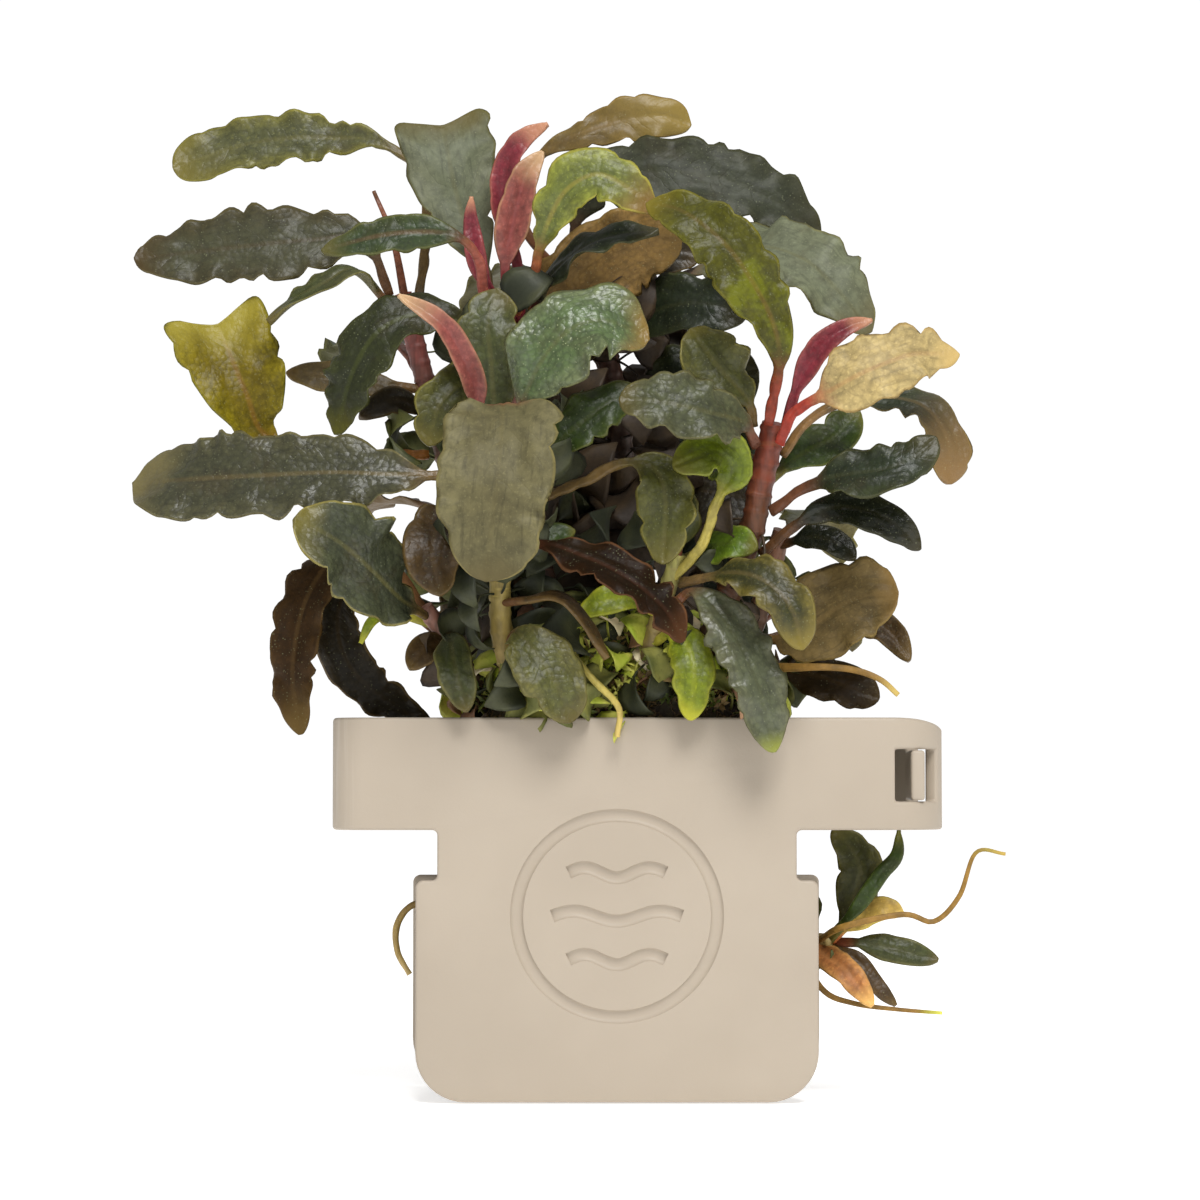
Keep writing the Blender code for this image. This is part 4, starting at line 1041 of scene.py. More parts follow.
LOOKS = {
    "olive": Look((82, 86, 50), (104, 104, 58), (108, 102, 56), (120, 98, 68), (108, 104, 68),
                  (118, 110, 78), (154, 148, 90)),
    "khaki": Look((74, 72, 48), (88, 84, 54), (102, 92, 56), (130, 106, 82), (114, 100, 76),
                  (120, 108, 80), (136, 126, 84)),
    "grey_green": Look((70, 78, 52), (84, 88, 56), (96, 88, 54), (138, 84, 74), (100, 98, 70),
                       (108, 104, 78), (132, 128, 86)),
    "teal": Look((50, 66, 44), (64, 76, 46), (84, 82, 48), (132, 76, 68), (82, 84, 56),
                 (92, 92, 70), (112, 114, 74)),
    "dark_teal": Look((36, 46, 34), (48, 56, 36), (60, 58, 38), (112, 72, 60), (62, 66, 46),
                      (74, 72, 54), (84, 86, 58)),
    "green": Look((54, 74, 32), (70, 88, 36), (100, 100, 42), (120, 114, 60), (84, 94, 50),
                  (94, 102, 56), (120, 126, 64)),
    "yellow_green": Look((110, 118, 44), (140, 140, 50), (150, 138, 52), (186, 110, 78), (150, 134, 72),
                         (128, 130, 66), (172, 168, 84), blotches=0.2),
    "lime": Look((120, 138, 34), (150, 160, 42), (176, 178, 58), (186, 182, 84), (160, 168, 62),
                 (130, 144, 54), (170, 176, 78), blotches=0.15, blotch=(84, 104, 34)),
    "brown": Look((78, 60, 40), (92, 72, 46), (104, 84, 52), (124, 88, 66), (108, 86, 62),
                  (116, 96, 70), (132, 110, 74)),
    "dark_brown": Look((46, 40, 30), (60, 50, 34), (74, 60, 40), (108, 76, 60), (74, 60, 44),
                       (90, 74, 54), (116, 98, 66)),
    "maroon": Look((56, 34, 27), (70, 44, 32), (100, 64, 46), (128, 76, 64), (100, 60, 50),
                   (98, 68, 54), (156, 116, 90)),
    "pink": Look((146, 80, 92), (160, 98, 108), (196, 166, 156), (124, 44, 62), (126, 56, 74),
                 (150, 92, 104), (176, 144, 124), (96, 50, 50), 0.3, 0.7, 0.32, 0.25, 0.1),
    "magenta": Look((128, 46, 72), (146, 68, 90), (190, 140, 136), (124, 42, 58), (108, 36, 56),
                    (144, 80, 96), (170, 108, 106), (84, 34, 42), 0.35, 0.8, 0.32, 0.3, 0.1),
    "straw": Look((186, 168, 140), (196, 178, 150), (190, 166, 128), (178, 68, 66), (176, 130, 100),
                  (184, 168, 140), (168, 138, 96), (150, 122, 84), 0.5, 0.85, 0.5, 0.6, 0.1),
    "black_green": Look((26, 31, 23), (38, 41, 28), (50, 47, 30), (96, 66, 50), (52, 51, 36),
                        (56, 54, 42), (62, 62, 44), rough=0.24),
    "taupe": Look((106, 92, 72), (118, 102, 78), (130, 106, 74), (142, 110, 80), (132, 112, 88),
                  (128, 110, 84), (140, 120, 78)),
    "tan_root": Look((152, 122, 66), (160, 130, 74), (200, 178, 124), (144, 112, 62), (152, 122, 66),
                     (152, 122, 66), (164, 136, 84), blotches=0.3, rough=0.5, veins=0.0, glands=0.0),
}


# %% [markdown]
# ## The leaves of the plant
#
# The table names every leaf by where it grows. Its base colouring is one of those above. The young leaves,
# stubs and threads follow under the names of their stems, and then the leaves at the back. A last table
# changes what is particular to a leaf, such as a lime margin, a brown tip or a crimson stalk.

# %% Table of leaves
LEAVES = {
    # Each row: stem and share of the way up it, way, then width, colouring and what else a leaf takes

    # Top of the plant
    "leaf_top_arching": Leaf(
        "stem_centre", 0.97,
        ((-17.5, 109, 10), (-19.8, 114, 10), (-21.2, 119, 11), (-22.2, 124, 12.5), (-22.9, 126.9, 14)),
        13.2, "grey_green", ((0, -1, 0.3),), 0.15, 0.9, 10.0, horns=4.6),
    "leaf_top_red_spear": Leaf(
        "stem_centre", 1.0,
        ((-14.6, 108.5, 5), (-13.6, 114, 4.5), (-12, 120, 4), (-9.7, 123.6, 4.5)),
        4.6, "pink", (FORWARD,), 0.12, 0.4, 1.6, 0.5, 0.05),
    "leaf_top_pale_pink": Leaf(
        "stem_centre", 0.93,
        ((-13, 108.5, 9), (-14.5, 116, 6.5), (-14.4, 121.5, 6), (-12.5, 125, 6), (-9, 127.3, 6)),
        4.0, "magenta", (FORWARD,), 0.3, 0.4, 1.6, 0.4, 0.05),
    "leaf_top_long_stalk": Leaf(
        "stem_back", 0.97,
        ((-11, 112, 19), (-14, 118, 19), (-10.5, 122.7, 18), (-5, 125.8, 17), (1, 127.8, 17),
         (6, 128.3, 17), (9.6, 127, 18)),
        7.0, "brown", (FORWARD,), 0.45, 0.9, 4.0),
    "leaf_top_yellow_green": Leaf(
        "stem_centre", 0.95,
        ((-11, 107, 3.5), (-9.4, 113, -1), (-6.8, 118.3, -3.5), (-2.6, 120.6, -4), (1.8, 118.6, -4),
         (5, 115.8, -3)),
        7.8, "yellow_green", (FORWARD,), 0.28, 0.6, 1.6),
    "leaf_top_edge_on": Leaf(
        "stem_centre", 0.86,
        ((-10.5, 103.5, 7.5), (-7, 108.8, 3.5), (-2, 112, 1.5), (5.5, 113.2, 1)),
        5.4, "dark_teal", ((0, -0.8, 0.8),), 0.2),
    "leaf_top_small_teal": Leaf(
        "stem_centre", 0.90,
        ((-17.4, 105, 4), (-18, 109.3, 2), (-20.5, 112.3, 0.5), (-25, 113, 0), (-31, 112.5, 0),
         (-38.5, 110.5, 1)),
        5.0, "teal", (FORWARD,), 0.4),
    "leaf_top_left_olive": Leaf(
        "stem_back_left", 0.97,
        ((-25, 112, 22), (-25.5, 120.5, 24), (-31, 124.8, 25), (-37, 125.4, 26), (-43, 125.4, 26),
         (-50, 124.2, 27), (-58, 121.3, 27)),
        8.8, "olive", (FORWARD,), 0.4, 0.8, 6.0),
    "leaf_top_right_dark": Leaf(
        "stem_back", 1.0,
        ((-5.5, 114, 16), (-3, 119, 14), (2.5, 121, 13), (9, 120.8, 12.5), (16, 119.3, 12.5),
         (22, 116.3, 13), (26.5, 112.3, 14)),
        9.8, "dark_teal", (FORWARD,), 0.1),
    "leaf_top_right_grey": Leaf(
        "stem_back", 0.90,
        ((4, 104.5, 18), (12, 108.8, 13), (18.5, 111, 6), (24.5, 109.3, 2), (29, 105, 1), (33, 99.8, 2)),
        12.0, "grey_green", ((0, -0.6, 1), (0.3, -1, 0.6), (0.6, -1, 0.3)), 0.25),
    "leaf_right_big_yellow_green": Leaf(
        "stem_right", 1.0,
        ((20.6, 92.5, -7), (21.2, 97, -9), (20, 102, -11), (17.5, 106.8, -12), (14.5, 111, -12),
         (11, 114.2, -11), (7.5, 116.2, -9), (4, 116.6, -7)),
        9.0, "yellow_green", (FORWARD,), 0.16, 0.6),

    # Left side
    "leaf_left_dark_brown": Leaf(
        "stem_back_left", 0.99,
        ((-33, 112, 16), (-40, 112, 15), (-50, 111, 15), (-63, 109.5, 16)),
        9.8, "dark_brown", ((0, -1, 0.2),), 0.10, 0.45, 3.2),
    "leaf_left_edge_on": Leaf(
        "stem_back_left", 0.94,
        ((-34, 107.8, 12), (-38, 106.3, 10), (-42, 104.2, 9), (-45.5, 101.2, 9)),
        5.0, "grey_green", ((0.3, -0.3, 1),), 0.15),
    "leaf_left_broad_horned": Leaf(
        "stem_back_left", 0.62,
        ((-34, 84, 16), (-42, 84.2, 15), (-46.4, 87, 14), (-48.2, 91.5, 13), (-50.3, 96.5, 13.5),
         (-52.2, 100.8, 15)),
        14.4, "yellow_green", ((0, -1, 0.4), (0.15, -1, 0.3)), 0.5, 0.95, 10.0, 0.3, horns=4.4),
    "leaf_left_dark_green": Leaf(
        "stem_centre", 0.88,
        ((-20, 101, 6), (-26, 102.2, 4), (-31, 100, 3), (-34.3, 94.8, 3), (-36.5, 86.5, 5)),
        8.4, "green", (FORWARD, (-0.5, -1, 0.3)), 0.10),
    "leaf_left_long": Leaf(
        "stem_front", 0.78,
        ((-20, 80.8, -4), (-30, 81.3, -6), (-38, 81.5, -5), (-48, 81, -3), (-57, 80.5, 0), (-62.8, 80, 4)),
        11.6, "khaki", ((0, -1, 0.4),), 0.14, 0.35, 5.0),
    "leaf_left_pale_margin": Leaf(
        "stem_left_low", 0.98,
        ((-28.2, 65, -3), (-32, 68.8, -8), (-36.5, 72.6, -12), (-42, 75.6, -14)),
        13.0, "olive", ((0.1, -1, 0.4),), 0.10, 0.5, 2.0),
    "leaf_left_chocolate": Leaf(
        "stem_left_low", 0.90,
        ((-30, 70, 7), (-35.5, 71, 6), (-39, 67.5, 5), (-41.2, 62, 4), (-42, 55, 4), (-41, 47.5, 5)),
        7.2, "brown", ((0, -0.3, 1), (-0.5, -1, 0.2), (-0.3, -1, 0)), 0.22),
    "leaf_left_curved_dark": Leaf(
        "stem_left_low", 0.80,
        ((-29, 65.5, 10), (-33, 67, 10), (-35.8, 64.5, 10), (-36, 60, 10), (-34, 55.5, 10),
         (-30, 52, 10), (-24, 48.5, 11)),
        6.6, "dark_brown", (FORWARD, (-0.8, -1, 0)), 0.22, 0.4, 2.0, 0.12, 0.05),

    # Front, on the stem in front
    "leaf_front_hanging": Leaf(
        "stem_front", 0.99,
        ((-14.8, 90.3, -10), (-15, 88, -15), (-15.5, 80.5, -19), (-16.4, 73.5, -18.5), (-17, 67.5, -16)),
        14.4, "khaki", ((0, 0, 1), (0, -1, 0.5), (0, -1, 0.1), (0, -1, 0)), 0.08, 0.25, 2.4),
    "leaf_front_glossy_teal": Leaf(
        "stem_front", 0.97,
        ((-11.5, 92.5, -8), (-8.8, 97.5, -10), (-5, 100.8, -10), (-0.8, 101.2, -9), (4, 98.8, -7)),
        12.0, "teal", ((0, -1, 0.6),), 0.10),
    "leaf_front_grey": Leaf(
        "stem_front", 0.93,
        ((-16, 90, -1.5), (-16.4, 96, -2.5), (-16.8, 101, -2.5), (-15.5, 105.5, -1)),
        8.6, "grey_green", (FORWARD,), 0.12, 0.5, 2.6),
    "leaf_front_rolled_pink": Leaf(
        "stem_front", 0.90,
        ((-18, 90.5, -7), (-19.8, 96, -10.5), (-23, 101, -12), (-28.5, 104.7, -11.5)),
        3.2, "pink", (FORWARD,), 0.2, 0.3, 1.6, 0.7, 0.0),
    "leaf_front_brown_veined": Leaf(
        "stem_front", 0.70,
        ((-19, 77.5, -0.5), (-22.5, 75.5, -3.5), (-24, 71.5, -7), (-22.9, 65.5, -8)),
        7.6, "brown", (FORWARD,), 0.15),
    "leaf_front_dark_green": Leaf(
        "stem_front", 0.86,
        ((-10, 83.7, -6), (-5.5, 87.3, -7), (-1, 90.7, -6.5), (3, 92.5, -5)),
        6.2, "green", (FORWARD,), 0.15),
    "leaf_front_round_olive": Leaf(
        "stem_front", 0.72,
        ((-9, 78.5, -2), (-4, 80.5, -3.5), (1, 82.8, -4.5), (4.8, 82, -5), (6.3, 78, -5.5), (6, 69.6, -5.5)),
        7.4, "olive", (FORWARD,), 0.48),
    "leaf_front_maroon": Leaf(
        "stem_front", 0.56,
        ((-10.5, 72.3, -5), (-4, 70.4, -8), (1.5, 67.6, -10), (6, 63.8, -10), (8.5, 59.5, -9)),
        7.0, "maroon", ((0, -0.8, 0.8),), 0.15),
    "leaf_front_low_grey": Leaf(
        "stem_front", 0.28,
        ((-12.8, 60.5, -3), (-10.5, 57.8, -5), (-8, 54, -5.5), (-6, 49, -5)),
        8.6, "grey_green", ((0.2, -1, 0.3),), 0.10),

    # Right side, on the stem at the right
    "leaf_right_magenta_spear": Leaf(
        "stem_right", 0.98,
        ((23.5, 92.5, -2), (26.5, 97.8, -3), (30, 100.4, -3), (33.2, 101.4, -2)),
        3.2, "magenta", (FORWARD,), 0.2, 0.4, 1.6, 0.5, 0.0),
    "leaf_right_straw": Leaf(
        "stem_right", 0.96,
        ((23, 89.3, -7), (27, 91.7, -10), (31, 94, -12), (35, 95.8, -12), (39, 97, -11), (44.5, 96.8, -9)),
        9.2, "straw", (FORWARD,), 0.3, 0.35, 0.9),
    "leaf_right_taupe_tip": Leaf(
        "stem_right", 0.91,
        ((25, 88.3, 0), (30, 90.9, 0), (35, 91.4, -1), (40, 90, -2.5), (42.9, 86, -3.5), (43.2, 80, -3)),
        6.6, "taupe", ((0, -0.5, 1), (0, -0.7, 1), (0.6, -1, 0.5), (0.4, -1, 0)), 0.25, 0.45, 4.0),
    "leaf_right_centre_grey": Leaf(
        "stem_right", 0.93,
        ((16.5, 88, -7), (12.5, 89.2, -11), (8, 90.3, -12.5), (4, 90.9, -12.5), (0.3, 91, -12)),
        8.6, "grey_green", (FORWARD,), 0.10, 0.45, 2.6),
    "leaf_right_centre_olive": Leaf(
        "stem_right", 0.98,
        ((17, 91, -3.5), (13.5, 95, -4.5), (9.5, 100.3, -4)),
        8.4, "olive", (FORWARD,), 0.15, 0.5, 2.6),
    "leaf_right_glossy_teal": Leaf(
        "stem_right", 0.72,
        ((23.5, 79, -5), (27.5, 80.7, -8), (31, 81.4, -10), (35, 82, -11), (38.8, 83.6, -11),
         (41.6, 86, -10)),
        7.2, "dark_teal", ((0, -1, 0.5),), 0.28),
    "leaf_right_black": Leaf(
        "stem_right", 0.60,
        ((22, 73.7, -3), (25.5, 76, -5), (29, 77, -6), (33.5, 76.2, -7), (37, 74, -7), (39.3, 71.5, -6)),
        5.0, "black_green", (FORWARD,), 0.25),
    "leaf_right_taupe_underside": Leaf(
        "stem_right_low", 0.45,
        ((21.5, 60, 9), (24.5, 61, 6), (28.5, 63.8, 4), (32.5, 65.6, 3), (36.6, 65.8, 3)),
        11.5, "taupe", (FORWARD,), 0.10, 0.5, 3.0),
    "leaf_right_low_brown": Leaf(
        "stem_right_low", 0.28,
        ((18.5, 55.5, 12), (24, 55.5, 11), (29, 54, 10), (34, 52, 10)),
        7.0, "brown", (FORWARD,), 0.20),

    # Low in the middle, hanging over the band
    "leaf_low_blue_green": Leaf(
        "stem_centre_low", 0.66,
        ((9.5, 66, -1.5), (12.8, 63.8, -4), (15.8, 59, -6), (18.5, 53, -7), (20.3, 45.2, -6)),
        7.8, "dark_teal", ((0.3, -1, 0.4),), 0.15),
    "leaf_low_khaki_veined": Leaf(
        "stem_centre_low", 0.86,
        ((12.5, 68, -3.5), (16.5, 68.3, -8), (20, 66.8, -10), (22.8, 63.5, -11), (24, 58.5, -10)),
        6.8, "khaki", ((0, -1, 0.5),), 0.20),

    # Middle, on the stem behind
    "leaf_middle_teal": Leaf(
        "stem_back", 0.88,
        ((3, 102, 14), (8, 103.5, 9), (12.5, 103.5, 7), (17, 102, 7)),
        9.6, "dark_teal", (FORWARD,), 0.15),
}

# %% Young leaves, stubs and threads
TWIGS = {
    # stem: share of the way up it, way, width, colouring and what else a leaf takes
    "stem_centre": (
        (0.98, ((-17.9, 108, 5.5), (-19, 114, 5.5), (-19, 117.7, 5.5)), 2.6, "magenta", (FORWARD,), 0.1,
         0.4, 1.4, 0.4, 0.0),
        (0.76, ((-9, 99, 11), (-4.5, 106, 10), (1, 110.4, 9.5), (8.5, 112, 9.5)), 12.0, "brown",
         ((0.2, -1, -0.1),)),
        (0.76, ((-17.5, 94, 7), (-20.5, 93, 5), (-23.3, 90, 4), (-24.5, 85, 4)), 6.8, "olive", (FORWARD,),
         0.1),
    ),
    "stem_back_left": (
        (0.98, ((-29.2, 112, 15), (-31.8, 118.5, 15)), 1.2, "maroon", (FORWARD,), 1.0),
        (0.78, ((-34, 93.5, 17), (-39, 94.3, 17), (-43, 94.5, 18)), 4.8, "taupe"),
        (0.7, ((-28.5, 91, 14), (-33.5, 88.8, 11)), 4.0, "dark_brown"),
    ),
    "stem_front": (
        (0.4, ((-11.3, 65, -3), (-8, 65.4, -5), (-5, 63.3, -6), (-1.3, 57.3, -6)), 2.8, "brown", (UPWARD,)),
        (0.6, ((-10, 73.4, -1), (-5.5, 73.8, 0)), 3.2, "green"),
    ),
    "stem_left_low": (
        (0.85, ((-28, 63, 6.5), (-30, 63.3, 5), (-32, 62, 4), (-33.3, 59.3, 4)), 1.4, "lime", (FORWARD,),
         0.4),
        (0.5, ((-24.2, 58.8, 4), (-27, 56, 3)), 4.4, "brown"),
        (0.72, ((-21.7, 60, 2), (-21, 56, -2), (-19.5, 50.5, -3.5)), 4.8, "grey_green"),
    ),
    "stem_right": (
        (0.8, ((23.5, 83.5, 3), (28, 86, 6), (31.5, 89.5, 9)), 6.0, "green"),
    ),
    "stem_right_low": (
        (0.92, ((24.5, 73, 6), (28, 72.6, 4), (31, 70.3, 3)), 4.2, "black_green"),
        (0.25, ((19.5, 56, 7), (24, 56.2, 2), (30, 56, 0), (34, 54.7, -1), (36.5, 52.6, -1)), 1.6,
         "tan_root", (FORWARD,), 1.0),
        (0.4, ((24, 61, 15), (30, 62.3, 15), (35, 61, 14), (38, 57, 13)), 5.0, "brown"),
    ),
    "stem_centre_low": (
        (0.97, ((8, 75, -2), (8, 80, -2)), 5.6, "grey_green"),
        (0.85, ((11, 72, -2), (13, 77.5, -4), (15, 82, -6), (12.4, 84.2, -8), (7.3, 82.2, -8)), 6.6,
         "green", (FORWARD,), 0.5),
        (0.95, ((11.5, 71.5, 0.5), (15, 72.4, -2.2), (18.3, 71.8, -3)), 5.0, "green"),
        (0.62, ((1.5, 65, 2), (-1.5, 64.8, 1), (-5, 63, 1)), 3.8, "lime"),
        (0.46, ((7.5, 60.8, 0), (9.5, 58, -3), (10, 54.5, -4), (9.5, 49.3, -3.8)), 5.4, "lime"),
    ),
    "stem_back": (
        (0.98, ((1, 109.5, 14.5), (5.5, 111, 13.5), (11, 110, 14)), 8.4, "dark_brown"),
        (0.82, ((-4, 98.5, 17), (-8, 100.5, 16), (-13, 103, 15)), 12.0, "dark_brown"),
        (0.66, ((6, 91, 19), (11, 93, 17), (18.5, 95, 16)), 14.0, "dark_teal"),
        (0.44, ((6, 79, 18), (12, 79, 15), (20, 77.5, 13)), 15.0, "dark_brown"),
        (0.74, ((-3.5, 97, 26), (-7.5, 92, 27.5), (-9, 80, 28), (-8, 66, 27.5)), 16.0, "dark_brown"),
        (0.66, ((5, 94, 26.5), (9.5, 89, 28), (11.5, 78, 28.5), (11, 65, 28)), 15.0, "dark_teal"),
        (0.36, ((-4, 74.5, 25), (-11, 73, 24.5), (-17, 65, 24.5), (-20, 54, 24.5)), 13.0, "brown"),
        (0.28, ((4.5, 70, 24), (9, 69, 24), (13.5, 62.5, 24.5), (15, 54, 24.5)), 13.0, "dark_teal"),
        (0.2, ((-2, 66, 24.5), (-5, 64, 25.5), (-6.5, 58, 26), (-6, 52.5, 26)), 12.0, "dark_brown"),
    ),
    "side_shoot": (
        (0.9, ((29.5, 23, 13), (31, 27, 13), (31.3, 31, 13), (28, 35.3, 14)), 5.6, "olive", (FORWARD,), 0.1),
        (0.95, ((31, 25, 7), (34, 29.2, 7), (36.2, 31.8, 7), (36.5, 35, 8)), 2.2, "green"),
        (0.97, ((31, 23.6, 10), (34.5, 25, 9), (37, 24.3, 9)), 3.8, "yellow_green"),
        (0.99, ((33, 20.3, 11), (41.5, 18.3, 11)), 3.6, "grey_green"),
        (0.94, ((31, 18.3, 10), (34, 14.6, 9), (36, 12.5, 9)), 2.6, "brown", (FORWARD,), 0.0),
        (0.7, ((27.5, 18.5, 8), (30, 16.5, 4.5), (33, 12.4, 3.5)), 3.8, "straw", (FORWARD,), 0.0),
        (0.85,
         ((29, 22.5, 5), (37, 24.2, 5), (41, 23.3, 5), (44.3, 26.6, 5), (46.5, 32.2, 5), (50.3, 32, 5)),
         1.1, "tan_root", (FORWARD,), 1.0),
        (0.6, ((26.5, 14.6, 14), (30.5, 12.8, 14), (36, 12, 14), (42, 11.5, 14)), 1.0, "tan_root",
         (FORWARD,), 1.0),
    ),
}

BACK_LEAVES = (
    # stem, share of the way up it, turn and rise in degrees, length, width, colouring
    ("stem_back", 0.84, -35.0, 46.0, 34.0, 9.5, "grey_green"),
    ("stem_back", 0.66, 30.0, 34.0, 36.0, 10.5, "olive"),
    ("stem_back", 0.42, -8.0, 22.0, 33.0, 9.0, "dark_teal"),
    ("stem_back_left", 0.80, -28.0, 38.0, 32.0, 8.5, "teal"),
    ("stem_back_left", 0.45, -40.0, 24.0, 34.0, 9.5, "brown"),
    ("stem_right_low", 0.80, 20.0, 40.0, 34.0, 9.0, "olive"),
    ("stem_right_low", 0.50, 30.0, 20.0, 30.0, 8.0, "grey_green"),
)
BACK_LEAF_SHARES = (0.12, 0.3, 0.5, 0.7, 0.86, 1.0)
BACK_LEAF_DROOP = 0.66
BACK_LEAF_TIP_DROP = 0.2
BACK_LEAF_LEAN = 0.2
BACK_LEAF_PETIOLE = 0.22

# %% What is particular to a leaf
OWN_LOOKS = {
    "leaf_top_arching": dict(light=0.86, centre=(106, 114, 112), margin=(112, 118, 116),
        stalk=(126, 100, 72), under=(110, 116, 112), rough=0.5, relief=0.2, gloss=0.25),
    "leaf_top_long_stalk": dict(light=1.0, centre=(96, 80, 52), margin=(104, 88, 56), tip=(120, 104, 60),
        stalk=(106, 68, 50), tip_from=0.6, relief=0.3),
    "leaf_top_yellow_green": dict(light=1.0, centre=(94, 104, 60), margin=(124, 132, 66), tip=(112, 90, 58),
        stalk=(168, 96, 76), tip_from=0.75),
    "leaf_top_edge_on": dict(stalk=(140, 66, 64)),
    "leaf_top_small_teal": dict(stalk=(168, 88, 90), rib=(130, 90, 80)),
    "leaf_top_left_olive": dict(light=0.92, centre=(84, 88, 70), margin=(110, 110, 66), rim=(150, 146, 76)),
    "leaf_top_right_dark": dict(light=0.76, centre=(66, 72, 66), margin=(74, 78, 70), rough=0.46,
        relief=0.3, gloss=0.25),
    "leaf_top_right_grey": dict(light=0.9, centre=(110, 118, 118), margin=(116, 124, 122), tip=(96, 90, 72),
        rough=0.46, relief=0.3, gloss=0.25),
    "leaf_right_big_yellow_green": dict(light=0.7, centre=(98, 100, 32), margin=(108, 110, 28),
        stalk=(188, 82, 72), rib=(146, 112, 66), blotch=(140, 150, 30), blotches=0.6, relief=0.8, gloss=0.24),
    "leaf_left_dark_brown": dict(light=0.88, centre=(72, 74, 66), margin=(72, 68, 56), under=(74, 74, 64),
        rim=(112, 104, 78), relief=0.55, gloss=0.26),
    "leaf_left_broad_horned": dict(light=0.8, centre=(126, 112, 14), margin=(154, 142, 30),
        tip=(170, 160, 74), stalk=(186, 124, 70), rib=(168, 108, 60), under=(138, 128, 34), relief=0.8,
        gloss=0.24),
    "leaf_left_dark_green": dict(light=0.85, centre=(48, 54, 36), margin=(60, 66, 42), rim=(96, 100, 62),
        gloss=0.25),
    "leaf_left_long": dict(light=0.95, centre=(64, 66, 58), margin=(76, 76, 64), tip=(102, 96, 76),
        rim=(130, 124, 96), rough=0.32, relief=0.95, gloss=0.4),
    "leaf_left_pale_margin": dict(light=0.95, centre=(60, 66, 60), margin=(72, 78, 68), rim=(176, 166, 110),
        relief=1.0, gloss=0.42),
    "leaf_left_chocolate": dict(light=0.85, centre=(58, 40, 22), margin=(70, 50, 28), under=(74, 54, 34),
        rim=(104, 82, 56), rough=0.5, relief=0.4, gloss=0.12),
    "leaf_left_curved_dark": dict(light=0.7, stalk=(162, 112, 94), rim=(156, 128, 88), gloss=0.15),
    "leaf_front_hanging": dict(light=0.8, centre=(114, 110, 94), margin=(130, 126, 110), tip=(104, 96, 76),
        stalk=(196, 104, 92), rib=(120, 112, 88), under=(116, 112, 94), rim=(176, 166, 126), blotches=0.15,
        rough=0.5, veins=0.2, glands=0.1, ribbing=0.3, relief=0.05, gloss=0.2),
    "leaf_front_glossy_teal": dict(light=1.0, centre=(78, 98, 74), margin=(96, 108, 92), tip=(118, 96, 56),
        rough=0.3, glands=1.0, relief=1.1, gloss=0.55),
    "leaf_front_brown_veined": dict(light=0.8),
    "leaf_front_dark_green": dict(light=0.75),
    "leaf_front_round_olive": dict(light=0.85, centre=(78, 82, 40), margin=(94, 96, 46)),
    "leaf_front_maroon": dict(light=0.7, centre=(40, 24, 10), margin=(50, 29, 13), under=(60, 36, 24),
        rim=(160, 112, 92), rough=0.4, relief=0.4, gloss=0.1),
    "leaf_front_low_grey": dict(light=0.85, centre=(96, 100, 64), margin=(118, 116, 72),
        under=(112, 110, 76), relief=1.0),
    "leaf_right_taupe_tip": dict(centre=(48, 58, 46), margin=(62, 66, 48), tip=(130, 104, 80),
        under=(62, 62, 48), tip_from=0.55),
    "leaf_right_centre_grey": dict(light=0.8, centre=(84, 91, 76), margin=(98, 102, 88), rim=(136, 132, 98),
        relief=1.0, gloss=0.34),
    "leaf_right_centre_olive": dict(light=0.9),
    "leaf_right_taupe_underside": dict(light=1.0, relief=0.4, gloss=0.2),
    "leaf_right_low_brown": dict(light=0.6, gloss=0.2),
    "leaf_low_blue_green": dict(light=1.0, centre=(80, 87, 80), margin=(90, 94, 86), tip=(126, 134, 72),
        under=(78, 84, 78), tip_from=0.88, rough=0.3, relief=0.8, gloss=0.45),
    "leaf_low_khaki_veined": dict(centre=(58, 60, 36), margin=(108, 100, 54), tip=(126, 114, 60)),
    "leaf_middle_teal": dict(light=0.8),
    "stem_centre_twig_2": dict(centre=(132, 106, 72), margin=(146, 118, 82), under=(140, 114, 80), gloss=0.2),
    "stem_centre_low_twig_2": dict(centre=(96, 114, 26), margin=(116, 132, 36), stalk=(204, 192, 118),
        under=(96, 118, 40), rim=(150, 160, 80)),
    "stem_centre_low_twig_3": dict(centre=(84, 112, 30), margin=(106, 132, 40), under=(96, 120, 40)),
    "side_shoot_twig_1": dict(light=0.8),
    "side_shoot_twig_3": dict(light=1.1, centre=(186, 158, 100), margin=(196, 172, 112),
        tip=(204, 182, 124), under=(180, 154, 100)),
    "side_shoot_twig_6": dict(light=1.0, centre=(156, 102, 70), margin=(184, 132, 92), tip=(216, 174, 124),
        stalk=(150, 92, 60), under=(176, 122, 80), blotch=(130, 70, 44)),
    "side_shoot_twig_7": dict(light=1.0, centre=(122, 126, 50), margin=(134, 136, 56), tip=(188, 160, 100),
        under=(120, 124, 50)),
    "side_shoot_twig_8": dict(light=1.0, centre=(150, 158, 56), margin=(160, 168, 64), tip=(206, 208, 110),
        under=(146, 154, 54)),
}
young = sum(len(rows) for rows in TWIGS.values())
print(len(LEAVES), "leaves,", young, "young ones and", len(BACK_LEAVES), "behind")

# %% [markdown]
# ## Making the leaves
#
# Each leaf is a piece of its own. A large one takes the place of its solid, and a young one belongs to the
# solid of its stem. The leaves at the back arch away from their stems, and their way is worked out from a
# turn and a rise.

